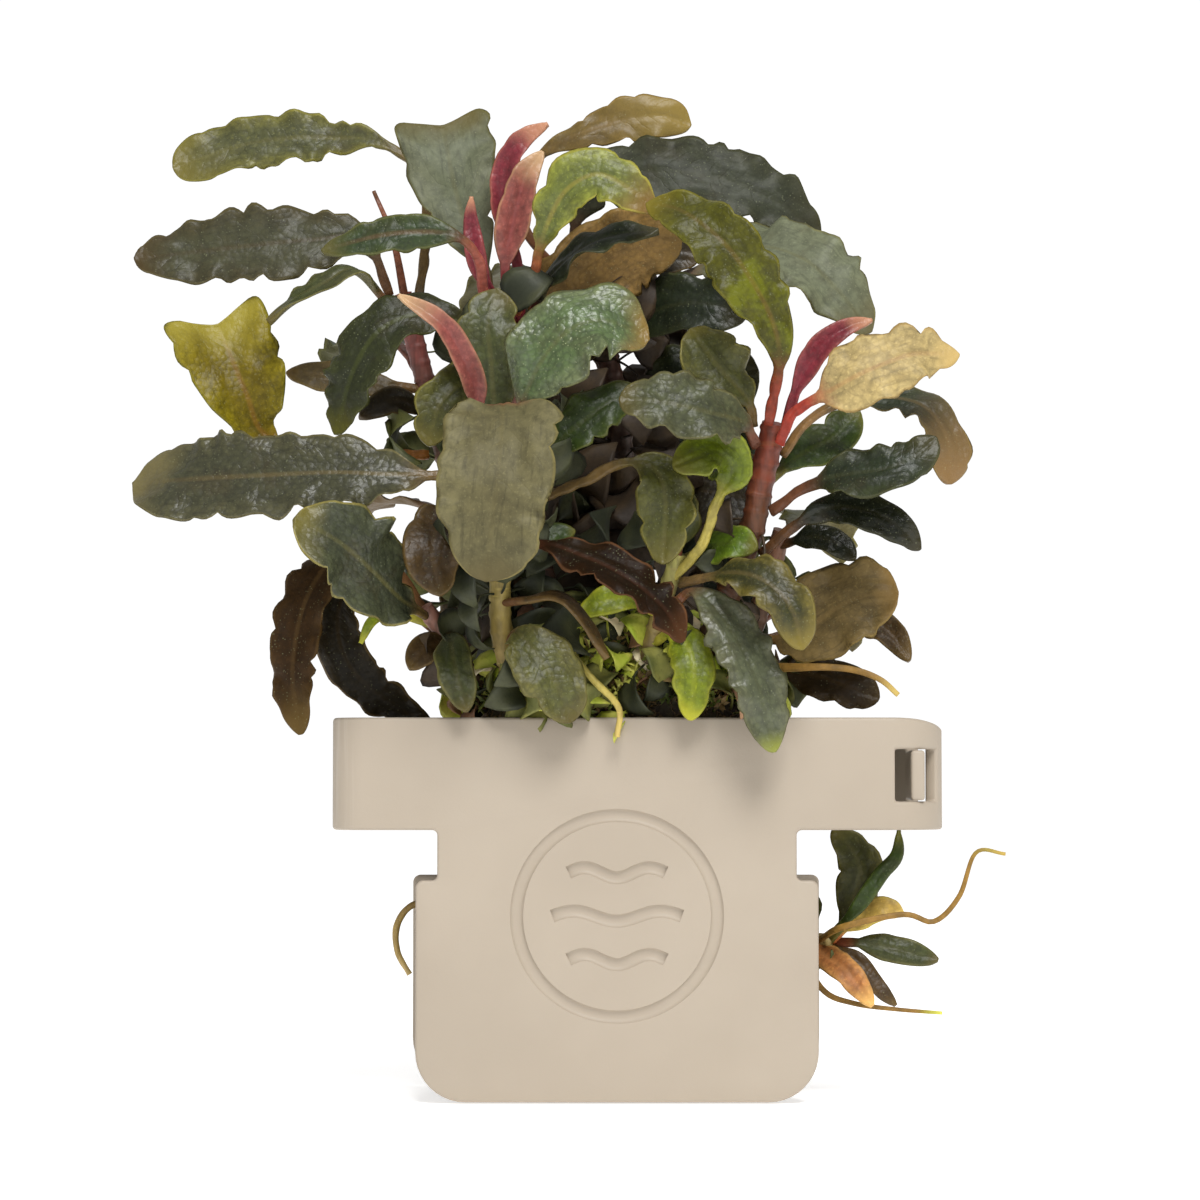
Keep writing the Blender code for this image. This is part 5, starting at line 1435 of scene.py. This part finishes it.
# %% Make the leaves
SEED_STEP = 3.7
FINISHES = {}
LEAF_SLOTS = {
    "olive": "leaf_green", "khaki": "leaf_green", "grey_green": "leaf_green", "teal": "leaf_green",
    "dark_teal": "leaf_dark", "green": "leaf_green", "yellow_green": "leaf_yellow_green",
    "lime": "leaf_yellow_green", "brown": "leaf_brown", "dark_brown": "leaf_brown", "maroon": "leaf_brown",
    "pink": "leaf_pink", "magenta": "leaf_pink", "straw": "leaf_straw", "black_green": "leaf_dark",
    "taupe": "leaf_brown", "tan_root": "root",
}


def finish_for(name, leaf):
    """A leaf's own finish, or the shared one of its colouring and stalk."""
    own = OWN_LOOKS.get(name)
    key = name if own else f"{leaf.colour}_{round(leaf.petiole * 100)}"
    if key not in FINISHES:
        look = warmed(replace(LOOKS[leaf.colour], **(own or {})))
        FINISHES[key] = leaf_finish(key, look, leaf.petiole)
    return FINISHES[key]


def back_leaf(stem, at, turn, rise, length, width, colour):
    """Leaf that arches away behind its stem: its way is worked out from its turn and its rise."""
    middle, _, _ = stem_at(stem, at)
    heading = Vector((math.sin(math.radians(turn)), math.cos(math.radians(turn)), 0))
    slope = math.tan(math.radians(rise))
    way = []
    for share in BACK_LEAF_SHARES:
        out = length * share
        height = slope * out * (1 - BACK_LEAF_DROOP * share) - BACK_LEAF_TIP_DROP * length * share ** 3
        way.append(middle + heading * out + Vector((0, 0, height)))
    upper = tuple(Vector((0, 0, 1)) - heading * BACK_LEAF_LEAN)
    return Leaf(stem, at, tuple(way), width, colour, (upper,), BACK_LEAF_PETIOLE)


def leaf_rows():
    """Every leaf: its piece's name, its rule, its way, how far its foot stands off the bark, its solid."""
    stand_off = GAP + PETIOLE_THICKNESS / 2
    for name, leaf in LEAVES.items():
        yield f"{name}_blade", leaf, [sighted(*place) for place in leaf.path], stand_off, name
    for number, row in enumerate(BACK_LEAVES, 1):
        leaf = back_leaf(*row)
        yield f"leaf_back_{number}_blade", leaf, leaf.path, stand_off, f"leaf_back_{number}"
    for stem, twigs in TWIGS.items():
        for number, row in enumerate(twigs, 1):
            leaf = Leaf(stem, *row)
            yield f"{stem}_twig_{number}", leaf, [sighted(*place) for place in leaf.path], -TWIG_INSET, None


def add_leaf(name, leaf, way, stand_off, node):
    """Make one leaf. Its seed counts what is there already, so that no two leaves are alike."""
    points = [leaf_start(leaf, way[0], stand_off), *way]
    mesh = leaf_mesh(name, leaf, points, len(bpy.data.objects) * SEED_STEP)
    return add_piece(name, mesh, finish_for(node or name, leaf), slot=LEAF_SLOTS[leaf.colour], node=node)


blades = [add_leaf(*row) for row in leaf_rows()]
faces = sum(len(blade.data.polygons) for blade in blades)
print(len(blades), "leaves have", faces, "faces and", len(FINISHES), "finishes")

# %% [markdown]
# ## Stems grown by a tree of nodes
#
# A stem is a thin trunk with a ring wherever an old leaf has fallen off. That repeats along a path, which is
# what Geometry Nodes are good at. The tree takes a bare line of edges, sets a radius that thins from foot to
# top and swells at every ring, and sweeps a circle along it. It also keeps how far each point lies from the
# foot, for the finish to read.

# %% The stem tree
BARK_ROUGHNESS = 0.11


def start_tree(name, rows):
    """Geometry Nodes tree with inputs from rows of (name, kind, value if none is given). Returns both."""
    tree = bpy.data.node_groups.new(name, "GeometryNodeTree")
    tree.interface.new_socket("Geometry", in_out="INPUT", socket_type="NodeSocketGeometry")
    for name, kind, value in rows:
        socket = tree.interface.new_socket(name, in_out="INPUT", socket_type=f"NodeSocket{kind}")
        if value is not None:
            socket.default_value = value
    tree.interface.new_socket("Geometry", in_out="OUTPUT", socket_type="NodeSocketGeometry")
    graph = Graph(tree)
    return graph, graph.add("NodeGroupInput").outputs


def end_tree(graph, shape, material):
    """Make every copy real, set the material, and hand the shape over. Returns the finished tree."""
    real = graph.add("GeometryNodeRealizeInstances", {"Geometry": shape.outputs[0]})
    dressed = graph.add("GeometryNodeSetMaterial", {"Geometry": real.outputs[0], "Material": material})
    graph.add("NodeGroupOutput", {"Geometry": dressed.outputs[0]})
    return graph.tree


def stem_tree():
    graph, given = start_tree("ringed_stem", (
        ("Foot Radius", "Float", None), ("Top Radius", "Float", None), ("Ring Spacing", "Float", 0.0022),
        ("Ring Height", "Float", 0.12), ("Knobbliness", "Float", 0.25), ("Sides", "Int", 20),
        ("Station", "Float", 0.0003), ("Finish", "Material", None)))
    line = graph.add("GeometryNodeMeshToCurve", {"Mesh": given["Geometry"]})
    fine = graph.add("GeometryNodeResampleCurve", {
        "Curve": line.outputs[0], "Length": given["Station"]}, mode="LENGTH")
    along = graph.add("GeometryNodeSplineParameter").outputs
    share, length = Signal(graph, along["Factor"]), Signal(graph, along["Length"])
    foot, top = Signal(graph, given["Foot Radius"]), Signal(graph, given["Top Radius"])
    ring = ((length / given["Ring Spacing"]) * math.pi).sine() ** 2.0
    lumps = graph.signal("ShaderNodeTexNoise", "Fac", {"Scale": 330.0, "Detail": 3.0})
    radius = (foot + (top - foot) * share) * (
        1 + (ring ** 6.0) * given["Ring Height"] + (lumps - 0.5) * given["Knobbliness"])
    kept = graph.add("GeometryNodeStoreNamedAttribute", {
        "Geometry": fine.outputs[0], "Name": "stem_length", "Value": length},
        data_type="FLOAT", domain="POINT")
    circle = graph.add("GeometryNodeCurvePrimitiveCircle", {"Resolution": given["Sides"], "Radius": 1.0})
    swept = graph.add("GeometryNodeCurveToMesh", {
        "Curve": kept.outputs[0], "Profile Curve": circle.outputs[0], "Scale": radius, "Fill Caps": True})
    place = graph.add("GeometryNodeInputPosition").outputs[0]
    rough = graph.add("ShaderNodeTexNoise", {"Vector": place, "Scale": 900.0, "Detail": 2.0})
    push = graph.add("ShaderNodeVectorMath", {
        "Vector": rough.outputs["Color"], "Vector_001": (0.5, 0.5, 0.5)}, operation="SUBTRACT")
    scaled = graph.add("ShaderNodeVectorMath", {
        "Vector": push.outputs[0], "Scale": (foot + top) * BARK_ROUGHNESS}, operation="SCALE")
    moved = graph.add("GeometryNodeSetPosition", {"Geometry": swept.outputs[0], "Offset": scaled.outputs[0]})
    smooth = graph.add("GeometryNodeSetShadeSmooth", {"Geometry": moved.outputs[0]})
    return end_tree(graph, smooth, given["Finish"])


# %% Finish of the stems
def bark_finish(name, low, middle, high, length):
    """Old brown bark at the foot, paler above, and the young growth's colour at the top."""
    finish = Finish(name, IOR=1.45)
    node = finish.add("ShaderNodeAttribute", attribute_name="stem_length")
    along = Signal(finish, node.outputs["Fac"]) / (length * MM)
    clouds = finish.noise(240, 4)
    fibres = finish.noise(1600, 3, (1.0, 1.0, 0.22))
    scars = finish.noise(700, 2, (0.4, 0.4, 2.2)).rise(0.6, 0.72)
    colour = finish.mix((along + clouds * 0.3 - 0.15).rise(0.25, 0.6), low, middle)
    colour = finish.mix((along + clouds * 0.3 - 0.15).rise(0.66, 0.95), colour, high)
    colour = finish.mix(fibres.rise(0.3, 0.75) * 0.5, colour, shaded(low, 0.6))
    colour = finish.mix(scars * 0.4, colour, shaded(middle, 1.25))
    finish.raise_by(fibres, 0.12, 0.7)
    finish.raise_by(clouds, 0.25, 0.4)
    return finish.close(colour, 0.38 + fibres * 0.25)


STEM_TONES = {
    "stem_centre": ((70, 50, 38), (104, 70, 56), (150, 66, 66)),
    "stem_back_left": ((66, 50, 38), (98, 70, 54), (132, 66, 60)),
    "stem_front": ((150, 128, 66), (164, 146, 76), (150, 78, 70)),
    "stem_left_low": ((78, 60, 42), (118, 86, 62), (150, 104, 88)),
    "stem_right": ((58, 36, 16), (86, 48, 20), (112, 46, 26)),
    "stem_right_low": ((72, 54, 40), (104, 74, 54), (128, 86, 62)),
    "stem_centre_low": ((92, 72, 46), (134, 116, 64), (164, 158, 84)),
    "stem_back": ((62, 48, 38), (84, 62, 48), (112, 72, 56)),
    "side_shoot": ((98, 76, 50), (134, 108, 64), (160, 140, 86)),
}


# %% Make the stems
def way_mesh(name, points):
    """Bare line of edges through points in millimetres."""
    mesh = bpy.data.meshes.new(name)
    mesh.from_pydata([point * MM for point in points], [(n, n + 1) for n in range(len(points) - 1)], [])
    return mesh


def add_stem(name, ending, skin_name, slot, row, tones, **values):
    """Grow a stem or a root along its way, as the piece that stands for its solid."""
    foot_radius, top_radius, way = row
    points = stem_path(way)
    length = way_length(points)
    bark = bark_finish(f"{name}_{skin_name}", *tones, length)
    mesh = grow(STEM_TREE, as_source(name, way_mesh(name, points)), f"{name}_{ending}",
                foot_radius=foot_radius * MM, top_radius=top_radius * MM, finish=bark, **values)
    add_piece(f"{name}_{ending}", mesh, slot=slot, node=name)
    print(name, "is", round(length), "mm long with", len(mesh.polygons), "faces")


STEM_TREE = stem_tree()
for name, row in STEMS.items():
    add_stem(name, "trunk", "bark", "stem", row, STEM_TONES[name])

# %% [markdown]
# ## The root ball
#
# Between the plates sits a lump of matted roots. Its body is the solid's own rule with many more rings, and
# three layers of noise on it. On its sides and its top lie hundreds of short rootlets, and on the top a
# cushion of moss and young leaves. A tree of nodes scatters them, from one small sprig each.

# %% Body of the root ball
BALL_SIDES = 132
BALL_RINGS = 84
BALL_Y = 13.0
BALL_HALF_DEPTH = 11.6
BALL_LEVELS = (
    (1.5, 13.0, 0.70), (4.0, 18.5, 0.94), (10.0, 20.6, 1.0), (18.0, 21.2, 1.0), (26.0, 21.0, 1.0),
    (34.0, 20.8, 1.0), (42.0, 20.4, 1.0), (49.5, 19.0, 0.97), (54.0, 16.5, 0.84), (58.0, 12.0, 0.64),
    (60.5, 6.0, 0.36),
)
BALL_SQUARENESS = 0.55
BALL_ROUGHNESS = 1.3
BALL_LUMPS = 0.35
BALL_DENTS = ((0.9, 0.5), (2.3, 0.3))  # fineness and depth


def ball_level(share):
    """Height, half width and depth share at a share of the way up."""
    place = share * (len(BALL_LEVELS) - 1)
    index = min(int(place), len(BALL_LEVELS) - 2)
    part = place - index
    return [low + (high - low) * part for low, high in zip(BALL_LEVELS[index], BALL_LEVELS[index + 1])]


def ball_mesh():
    shape = bmesh.new()
    rings = []
    for share in even_shares(BALL_RINGS):
        height, half_width, depth_share = ball_level(share)
        ring = []
        for number in range(BALL_SIDES):
            turn = 2 * math.pi * number / BALL_SIDES
            x = math.copysign(abs(math.cos(turn)) ** BALL_SQUARENESS, math.cos(turn)) * half_width
            y = math.copysign(abs(math.sin(turn)) ** BALL_SQUARENESS, math.sin(turn))
            y *= BALL_HALF_DEPTH * depth_share
            spot = Vector((x, y, height))
            dent = BALL_ROUGHNESS * (0.5 + 0.5 * noise.noise(spot * BALL_LUMPS))
            dent += sum(depth * abs(noise.noise(spot * fineness)) for fineness, depth in BALL_DENTS)
            inward = Vector((x, y, 0)).normalized() * dent
            ring.append(shape.verts.new(Vector((x, BALL_Y + y, height)) - inward))
        rings.append(ring)
    skin(shape, rings)
    close_round(shape, rings)
    return mesh_from(shape, "root_ball_body", smooth=True)


# %% Finish of the root ball
def peat_finish():
    finish = Finish("matted_roots", IOR=1.45)
    _, _, z = finish.coordinates()
    clouds = finish.noise(120, 5, roughness=0.6)
    fibres = finish.noise(900, 5, roughness=0.7)
    threads = abs(finish.noise(500, 2) - 0.5).rise(0.0, 0.05)
    mossy = (z / MM + clouds * 14 - 7).rise(47.0, 56.0)
    colour = finish.mix(clouds.rise(0.3, 0.7), (44, 34, 24), (78, 60, 40))
    colour = finish.mix((1 - threads) * 0.55, colour, (132, 106, 70))
    colour = finish.mix(mossy * fibres.rise(0.35, 0.6), colour, (66, 76, 34))
    colour = finish.mix(fibres.rise(0.62, 0.72) * 0.4, colour, (170, 150, 108))
    finish.raise_by(fibres, 0.6, 0.8)
    finish.raise_by(1 - threads, 0.35, 0.8)
    return finish.close(colour, 0.6 + fibres * 0.3)


BALL = add_piece("root_ball_body", ball_mesh(), peat_finish(), slot="root_ball", node="root_ball")
print("root ball has", len(BALL.data.polygons), "faces")

# %% [markdown]
# ## Scattering rootlets, moss and young leaves
#
# One tree scatters any sprig over the faces of a piece: rootlets, moss and leaflets over the ball, and young
# leaves over the stems and the side shoot. Points are strewn with a fixed seed, only between two heights and,
# for the flat rootlets, not where the plates press on the ball. The sprig stands on the face's normal, turned
# and sized at random. Realize Instances makes the copies real, since the export would drop them.

# %% The scatter tree
PLATES_FREE = 0.6
ANYWHERE = 1.1


def scatter_tree():
    graph, given = start_tree("scattered_sprigs", (
        ("Sprig", "Object", None), ("Density", "Float", None), ("Lowest", "Float", None),
        ("Highest", "Float", None), ("Most Sideways", "Float", PLATES_FREE), ("Smallest", "Float", 0.6),
        ("Largest", "Float", 1.2), ("Lean", "Float", 0.5), ("Seed", "Int", None),
        ("Finish", "Material", None)))
    place = graph.add("ShaderNodeSeparateXYZ", {
        "Vector": graph.add("GeometryNodeInputPosition").outputs[0]})
    normal = graph.add("ShaderNodeSeparateXYZ", {
        "Vector": graph.add("GeometryNodeInputNormal").outputs[0]})
    height = Signal(graph, place.outputs["Z"])
    sideways = abs(Signal(graph, normal.outputs["Y"]))
    allowed = (height.math("GREATER_THAN", given["Lowest"]) * height.math("LESS_THAN", given["Highest"])
               * sideways.math("LESS_THAN", given["Most Sideways"]))
    strewn = graph.add("GeometryNodeDistributePointsOnFaces", {
        "Mesh": given["Geometry"], "Density": allowed * given["Density"], "Seed": given["Seed"]})
    sprig = graph.add("GeometryNodeObjectInfo", {"Object": given["Sprig"]})
    lean = Signal(graph, given["Lean"])
    turn = graph.add("ShaderNodeCombineXYZ", {"X": lean, "Y": lean, "Z": math.pi})
    back = graph.add("ShaderNodeVectorMath", {"Vector": turn.outputs[0], "Scale": -1.0}, operation="SCALE")
    chance = graph.add("FunctionNodeRandomValue", {
        "Min": back.outputs[0], "Max": turn.outputs[0], "Seed": given["Seed"]}, data_type="FLOAT_VECTOR")
    turned = graph.add("FunctionNodeRotateRotation", {
        "Rotation": strewn.outputs["Rotation"], "Rotate By": chance.outputs["Value"]}, rotation_space="LOCAL")
    size = graph.add("FunctionNodeRandomValue", {
        "Min_001": given["Smallest"], "Max_001": given["Largest"], "Seed": given["Seed"]}, data_type="FLOAT")
    copies = graph.add("GeometryNodeInstanceOnPoints", {
        "Points": strewn.outputs["Points"], "Instance": sprig.outputs["Geometry"],
        "Rotation": turned.outputs[0], "Scale": size.outputs[1]})
    return end_tree(graph, copies, given["Finish"])


# %% One rootlet, one moss sprig and one young leaf
GOLDEN_TURN = 2.4
LEAFLET_STALK = 0.35
LEAFLET_HALF_THICKNESS = 0.16
LEAFLET_CUP = 0.35


def rootlet_mesh(length, radius, sides=5, stations=9):
    """Bent thread that lies along X, a little above the face that it is put on."""
    shape = bmesh.new()
    rings = []
    for share in even_shares(stations):
        centre = Vector(((share - 0.5) * length, 0.12 * length * math.sin(5.5 * share),
                         radius * 0.6 + 0.06 * length * math.sin(9 * share)))
        thin = radius * (1.15 - 0.7 * share)
        ring = []
        for number in range(sides):
            turn = 2 * math.pi * number / sides
            ring.append(shape.verts.new(centre + Vector((0, math.cos(turn), math.sin(turn))) * thin))
        rings.append(ring)
    skin(shape, rings)
    close_flat(shape, rings)
    return mesh_from(shape, "rootlet", smooth=True)


def moss_mesh(height, leaflets=9):
    """Upright sprig: slim leaflets in a spiral, each a flat spindle of little thickness."""
    shape = bmesh.new()
    for number in range(leaflets):
        turn = GOLDEN_TURN * number
        foot = Vector((0, 0, height * number / leaflets * 0.8))
        out = Vector((math.cos(turn), math.sin(turn), 0.9)).normalized()
        side = out.cross(Vector((0, 0, 1))).normalized()
        reach = height * 0.5
        tip = shape.verts.new(foot + out * reach + Vector((0, 0, -0.1 * reach)))
        middle = foot + out * reach * 0.45
        up = out.cross(side).normalized() * 0.05
        base = shape.verts.new(foot)
        left = shape.verts.new(middle + side * reach * 0.2)
        right = shape.verts.new(middle - side * reach * 0.2)
        top = shape.verts.new(middle + up)
        low = shape.verts.new(middle - up)
        for first, second in ((base, left), (left, tip), (tip, right), (right, base)):
            shape.faces.new((first, second, top))
            shape.faces.new((second, first, low))
    return mesh_from(shape, "moss_sprig")


def leaflet_mesh(length, width, stations=10, columns=6):
    """Spoon of a young leaf on its stalk: it rises along Z and bends over towards X."""
    shape = bmesh.new()
    rings = []
    for share in even_shares(stations):
        bend = 1.5 * share ** 1.6
        centre = Vector((length * 0.62 * share * math.sin(bend), 0, length * share * math.cos(bend * 0.75)))
        blade = max((share - LEAFLET_STALK) / (1 - LEAFLET_STALK), 0)
        half = max(width / 2 * math.sin(math.pi * blade ** 0.8) ** 0.8, LEAFLET_HALF_THICKNESS)
        up = Vector((-math.cos(bend), 0, math.sin(bend)))
        ring = []
        for index in range(2 * columns):
            across = 2 * index / columns - 1 if index <= columns else 3 - 2 * index / columns
            lift = LEAFLET_HALF_THICKNESS * math.sqrt(max(1 - across ** 4, 0))
            lift *= 1 if index < columns else -1
            cup = LEAFLET_CUP * half * across ** 2 + 0.12 * half * math.sin(9 * share + 2 * across)
            ring.append(shape.verts.new(centre + Vector((0, half * across, 0)) + up * (lift + cup)))
        rings.append(ring)
    skin(shape, rings)
    close_flat(shape, rings)
    return mesh_from(shape, "leaflet", smooth=True)


# %% Finishes of what is strewn
def thread_finish(name, first, second):
    finish = Finish(name, IOR=1.45)
    clouds = finish.noise(260, 3)
    grain = finish.noise(2200, 3)
    colour = finish.mix(clouds.rise(0.35, 0.65), first, second)
    colour = finish.mix(grain.rise(0.5, 0.8) * 0.4, colour, shaded(first, 0.6))
    finish.raise_by(grain, 0.05, 0.6)
    return finish.close(colour, 0.5 + grain * 0.25)


# %% Scatter them over the ball and the stems
SCATTER = scatter_tree()
LAYERS = (
    # name, sprig, density on a square metre, lowest, highest, where, least and most size, lean, seed,
    # finish, slot
    ("rootlets_brown", rootlet_mesh(7.0, 0.22), 80000, 3, 58, PLATES_FREE, 0.5, 1.4, 0.25, 3,
     thread_finish("brown_rootlets", (92, 70, 46), (124, 98, 64)), "root"),
    ("rootlets_pale", rootlet_mesh(5.0, 0.16), 60000, 3, 60, PLATES_FREE, 0.5, 1.5, 0.4, 8,
     thread_finish("pale_rootlets", (172, 148, 102), (196, 172, 132)), "root"),
    ("rootlets_dark", rootlet_mesh(8.0, 0.26), 60000, 3, 56, PLATES_FREE, 0.5, 1.3, 0.25, 14,
     thread_finish("dark_rootlets", (50, 38, 28), (74, 56, 38)), "root"),
    ("moss_green", moss_mesh(3.0), 380000, 51, 62, ANYWHERE, 0.6, 1.4, 0.7, 21,
     thread_finish("green_moss", (60, 72, 26), (104, 114, 40)), "leaf_green"),
    ("moss_brown", moss_mesh(3.4), 400000, 51, 62, ANYWHERE, 0.6, 1.3, 0.8, 24,
     thread_finish("brown_moss", (88, 68, 40), (136, 112, 66)), "leaf_brown"),
    ("moss_lime", moss_mesh(3.2), 520000, 53, 62, ANYWHERE, 0.6, 1.4, 0.8, 27,
     thread_finish("lime_moss", (150, 156, 48), (206, 202, 104)), "leaf_yellow_green"),
    ("rootlets_upright", rootlet_mesh(9.0, 0.24), 70000, 52, 62, ANYWHERE, 0.5, 1.2, 1.3, 31,
     thread_finish("pink_rootlets", (150, 104, 74), (186, 146, 104)), "root"),
    ("leaflets_olive", leaflet_mesh(9.0, 4.6), 60000, 50, 61, ANYWHERE, 0.6, 1.2, 0.7, 34,
     thread_finish("olive_leaflets", (88, 92, 42), (128, 126, 60)), "leaf_green"),
    ("leaflets_lime", leaflet_mesh(7.5, 4.2), 130000, 51, 62, ANYWHERE, 0.6, 1.2, 0.8, 38,
     thread_finish("lime_leaflets", (152, 166, 42), (200, 198, 86)), "leaf_yellow_green"),
    ("leaflets_brown", leaflet_mesh(8.5, 4.0), 60000, 50, 60, PLATES_FREE, 0.6, 1.2, 0.6, 43,
     thread_finish("brown_leaflets", (122, 84, 58), (164, 124, 90)), "leaf_brown"),
    ("leaflets_cream", leaflet_mesh(6.0, 3.0), 100000, 50, 62, PLATES_FREE, 0.6, 1.3, 0.9, 47,
     thread_finish("cream_leaflets", (216, 194, 148), (238, 224, 184)), "leaf_straw"),
)

STEM_LEAFLETS = (
    # stem, density on a square metre, lowest, highest, leaflet's length and width, seed
    ("stem_centre", 95000, 55, 102, 13.0, 6.4, 41), ("stem_back", 130000, 56, 106, 16.0, 8.0, 42),
    ("stem_back_left", 60000, 54, 100, 12.0, 6.0, 43), ("stem_front", 70000, 52, 84, 10.0, 5.0, 44),
    ("stem_right", 60000, 54, 76, 10.0, 5.0, 45), ("stem_right_low", 80000, 54, 74, 11.0, 5.4, 46),
    ("stem_centre_low", 85000, 53, 74, 9.0, 4.6, 47), ("stem_left_low", 60000, 52, 64, 9.0, 4.6, 48),
    ("side_shoot", 90000, 12, 30, 7.0, 1.6, 49),
)
# Tones of the young leaves on the stems: partly their own dark colours, partly painted shade of the inside of
# the tuft that they fill.
LEAFLET_TONES = (((38, 42, 24), (56, 58, 30)), ((44, 32, 18), (66, 50, 28)), ((60, 66, 28), (90, 92, 40)))


def strew(name, ground, sprig_mesh, finish, slot, **values):
    """One layer of sprigs over the faces of a mesh, as a piece."""
    sprig = as_source("sprig", sprig_mesh)
    strewn = grow(SCATTER, as_source("ground", ground.data.copy()), name,
                  sprig=sprig, finish=finish, **values)
    bpy.data.objects.remove(sprig, do_unlink=True)
    strewn.materials.clear()
    add_piece(name, strewn, finish, slot=slot)
    print(name, "has", len(strewn.polygons), "faces")


for name, sprig, density, lowest, highest, sideways, smallest, largest, lean, seed, finish, slot in LAYERS:
    strew(name, BALL, sprig, finish, slot, density=float(density), lowest=lowest * MM, highest=highest * MM,
          most_sideways=sideways, smallest=smallest, largest=largest, lean=lean, seed=seed)

TONES = [thread_finish(f"young_leaves_{number}", *tones) for number, tones in enumerate(LEAFLET_TONES, 1)]
for number, (stem, density, lowest, highest, length, width, seed) in enumerate(STEM_LEAFLETS):
    strew(f"{stem}_leaflets", bpy.data.objects[f"{stem}_trunk"], leaflet_mesh(length, width),
          TONES[number % len(TONES)], "leaf_dark", density=float(density), lowest=lowest * MM,
          highest=highest * MM, most_sideways=ANYWHERE, seed=seed)

# %% [markdown]
# ## Loose roots
#
# A yellow root hangs over the band in front and another makes a loop at the left of the plate. They are
# grown by the stem tree too, thinner, without rings and with a rougher surface.

# %% Make the loose roots
ROOTS = {
    # the same row as a stem's, then its three tones
    "root_over_band": (
        (0.55, 0.4, ((-7, 60, 3), (-5.5, 57.5, -1), (-3, 54.5, -3), (0.2, 51, -3), (0, 47.2, -2.6))),
        ((150, 140, 60), (178, 160, 76), (188, 164, 88))),
    "root_left_loop": (
        (0.5, 0.4,
         ((-22.5, 25.5, 12), (-26.3, 25.5, 12), (-28.4, 23, 12), (-28.4, 19.5, 12), (-26.8, 16.5, 12))),
        ((138, 112, 58), (160, 134, 74), (176, 152, 96))),
}

for name, (row, tones) in ROOTS.items():
    add_stem(name, "thread", "skin", "root", row, tones, ring_height=0.0, knobbliness=0.5, sides=12)

# %% [markdown]
# ## Floor and light
#
# The plant stands on a plain pale floor in soft studio light. One square lamp, above and in front and a
# little to the right, gives the leaves their gloss and their shade. The white sky fills the shade. It shows
# bright behind the plant but lights it at half that strength, since a bright sky would lay a pale haze over
# the dark leaves. The floor glows a little, so that it doesn't stand out from the sky.

# %% Floor, sky and lamp
FLOOR_HALF = 3.0
FLOOR_DROP = 0.0002
FLOOR_GLOW = 0.55
SKY_LIGHT = 0.5
SKY_SEEN = 1.04
KEY_PLACE = (0.12, -0.52, 0.68)
KEY_AIM = (0, 0, 0.07)
KEY_SIZE = 0.35
KEY_POWER = 7.4

floor_mesh = bpy.data.meshes.new("floor")
floor_mesh.from_pydata(
    [(-FLOOR_HALF, -FLOOR_HALF, 0), (FLOOR_HALF, -FLOOR_HALF, 0), (FLOOR_HALF, FLOOR_HALF, 0),
     (-FLOOR_HALF, FLOOR_HALF, 0)], [], [(0, 1, 2, 3)])
floor = bpy.data.objects.new("floor", floor_mesh)
floor.location.z = CAD_BOX[0].z - FLOOR_DROP
bpy.context.scene.collection.objects.link(floor)
floor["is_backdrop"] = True
floor_finish = Finish("pale_floor", **{"Emission Color": (1, 1, 1, 1), "Emission Strength": FLOOR_GLOW})
shade = floor_finish.noise(3, 2)
floor_mesh.materials.append(floor_finish.close(
    floor_finish.mix(shade, (250, 250, 250), (255, 255, 255)), 0.9 + shade * 0.05))

world = bpy.data.worlds.new("studio")
bpy.context.scene.world = world
world.use_nodes = True
sky = Graph(world.node_tree)
seen = sky.add("ShaderNodeLightPath")
dimmed = sky.add("ShaderNodeMapRange", {
    "Value": seen.outputs["Is Camera Ray"], "To Min": SKY_LIGHT, "To Max": SKY_SEEN})
white = sky.add("ShaderNodeBackground", {"Color": (1, 1, 1, 1), "Strength": dimmed.outputs["Result"]})
sky.add("ShaderNodeOutputWorld", {"Surface": white.outputs["Background"]})

lamp = bpy.data.objects.new("key", bpy.data.lights.new("key", "AREA"))
lamp.data.size = KEY_SIZE
lamp.data.energy = KEY_POWER
lamp.location = KEY_PLACE
lamp.rotation_euler = (Vector(KEY_AIM) - Vector(KEY_PLACE)).to_track_quat("-Z", "Y").to_euler()
bpy.context.scene.collection.objects.link(lamp)
bpy.context.scene.view_settings.view_transform = "Standard"

# %% [markdown] ## Sizes The sizes of the solids and of the dressed plant are printed.

# %% Sizes, and the end
sizes = {"cad": [list(corner) for corner in CAD_BOX], "visual": [list(corner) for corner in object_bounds()]}
for label, (low, high) in sizes.items():
    print(label, [round((top - bottom) * 1000, 1) for bottom, top in zip(low, high)], "mm")
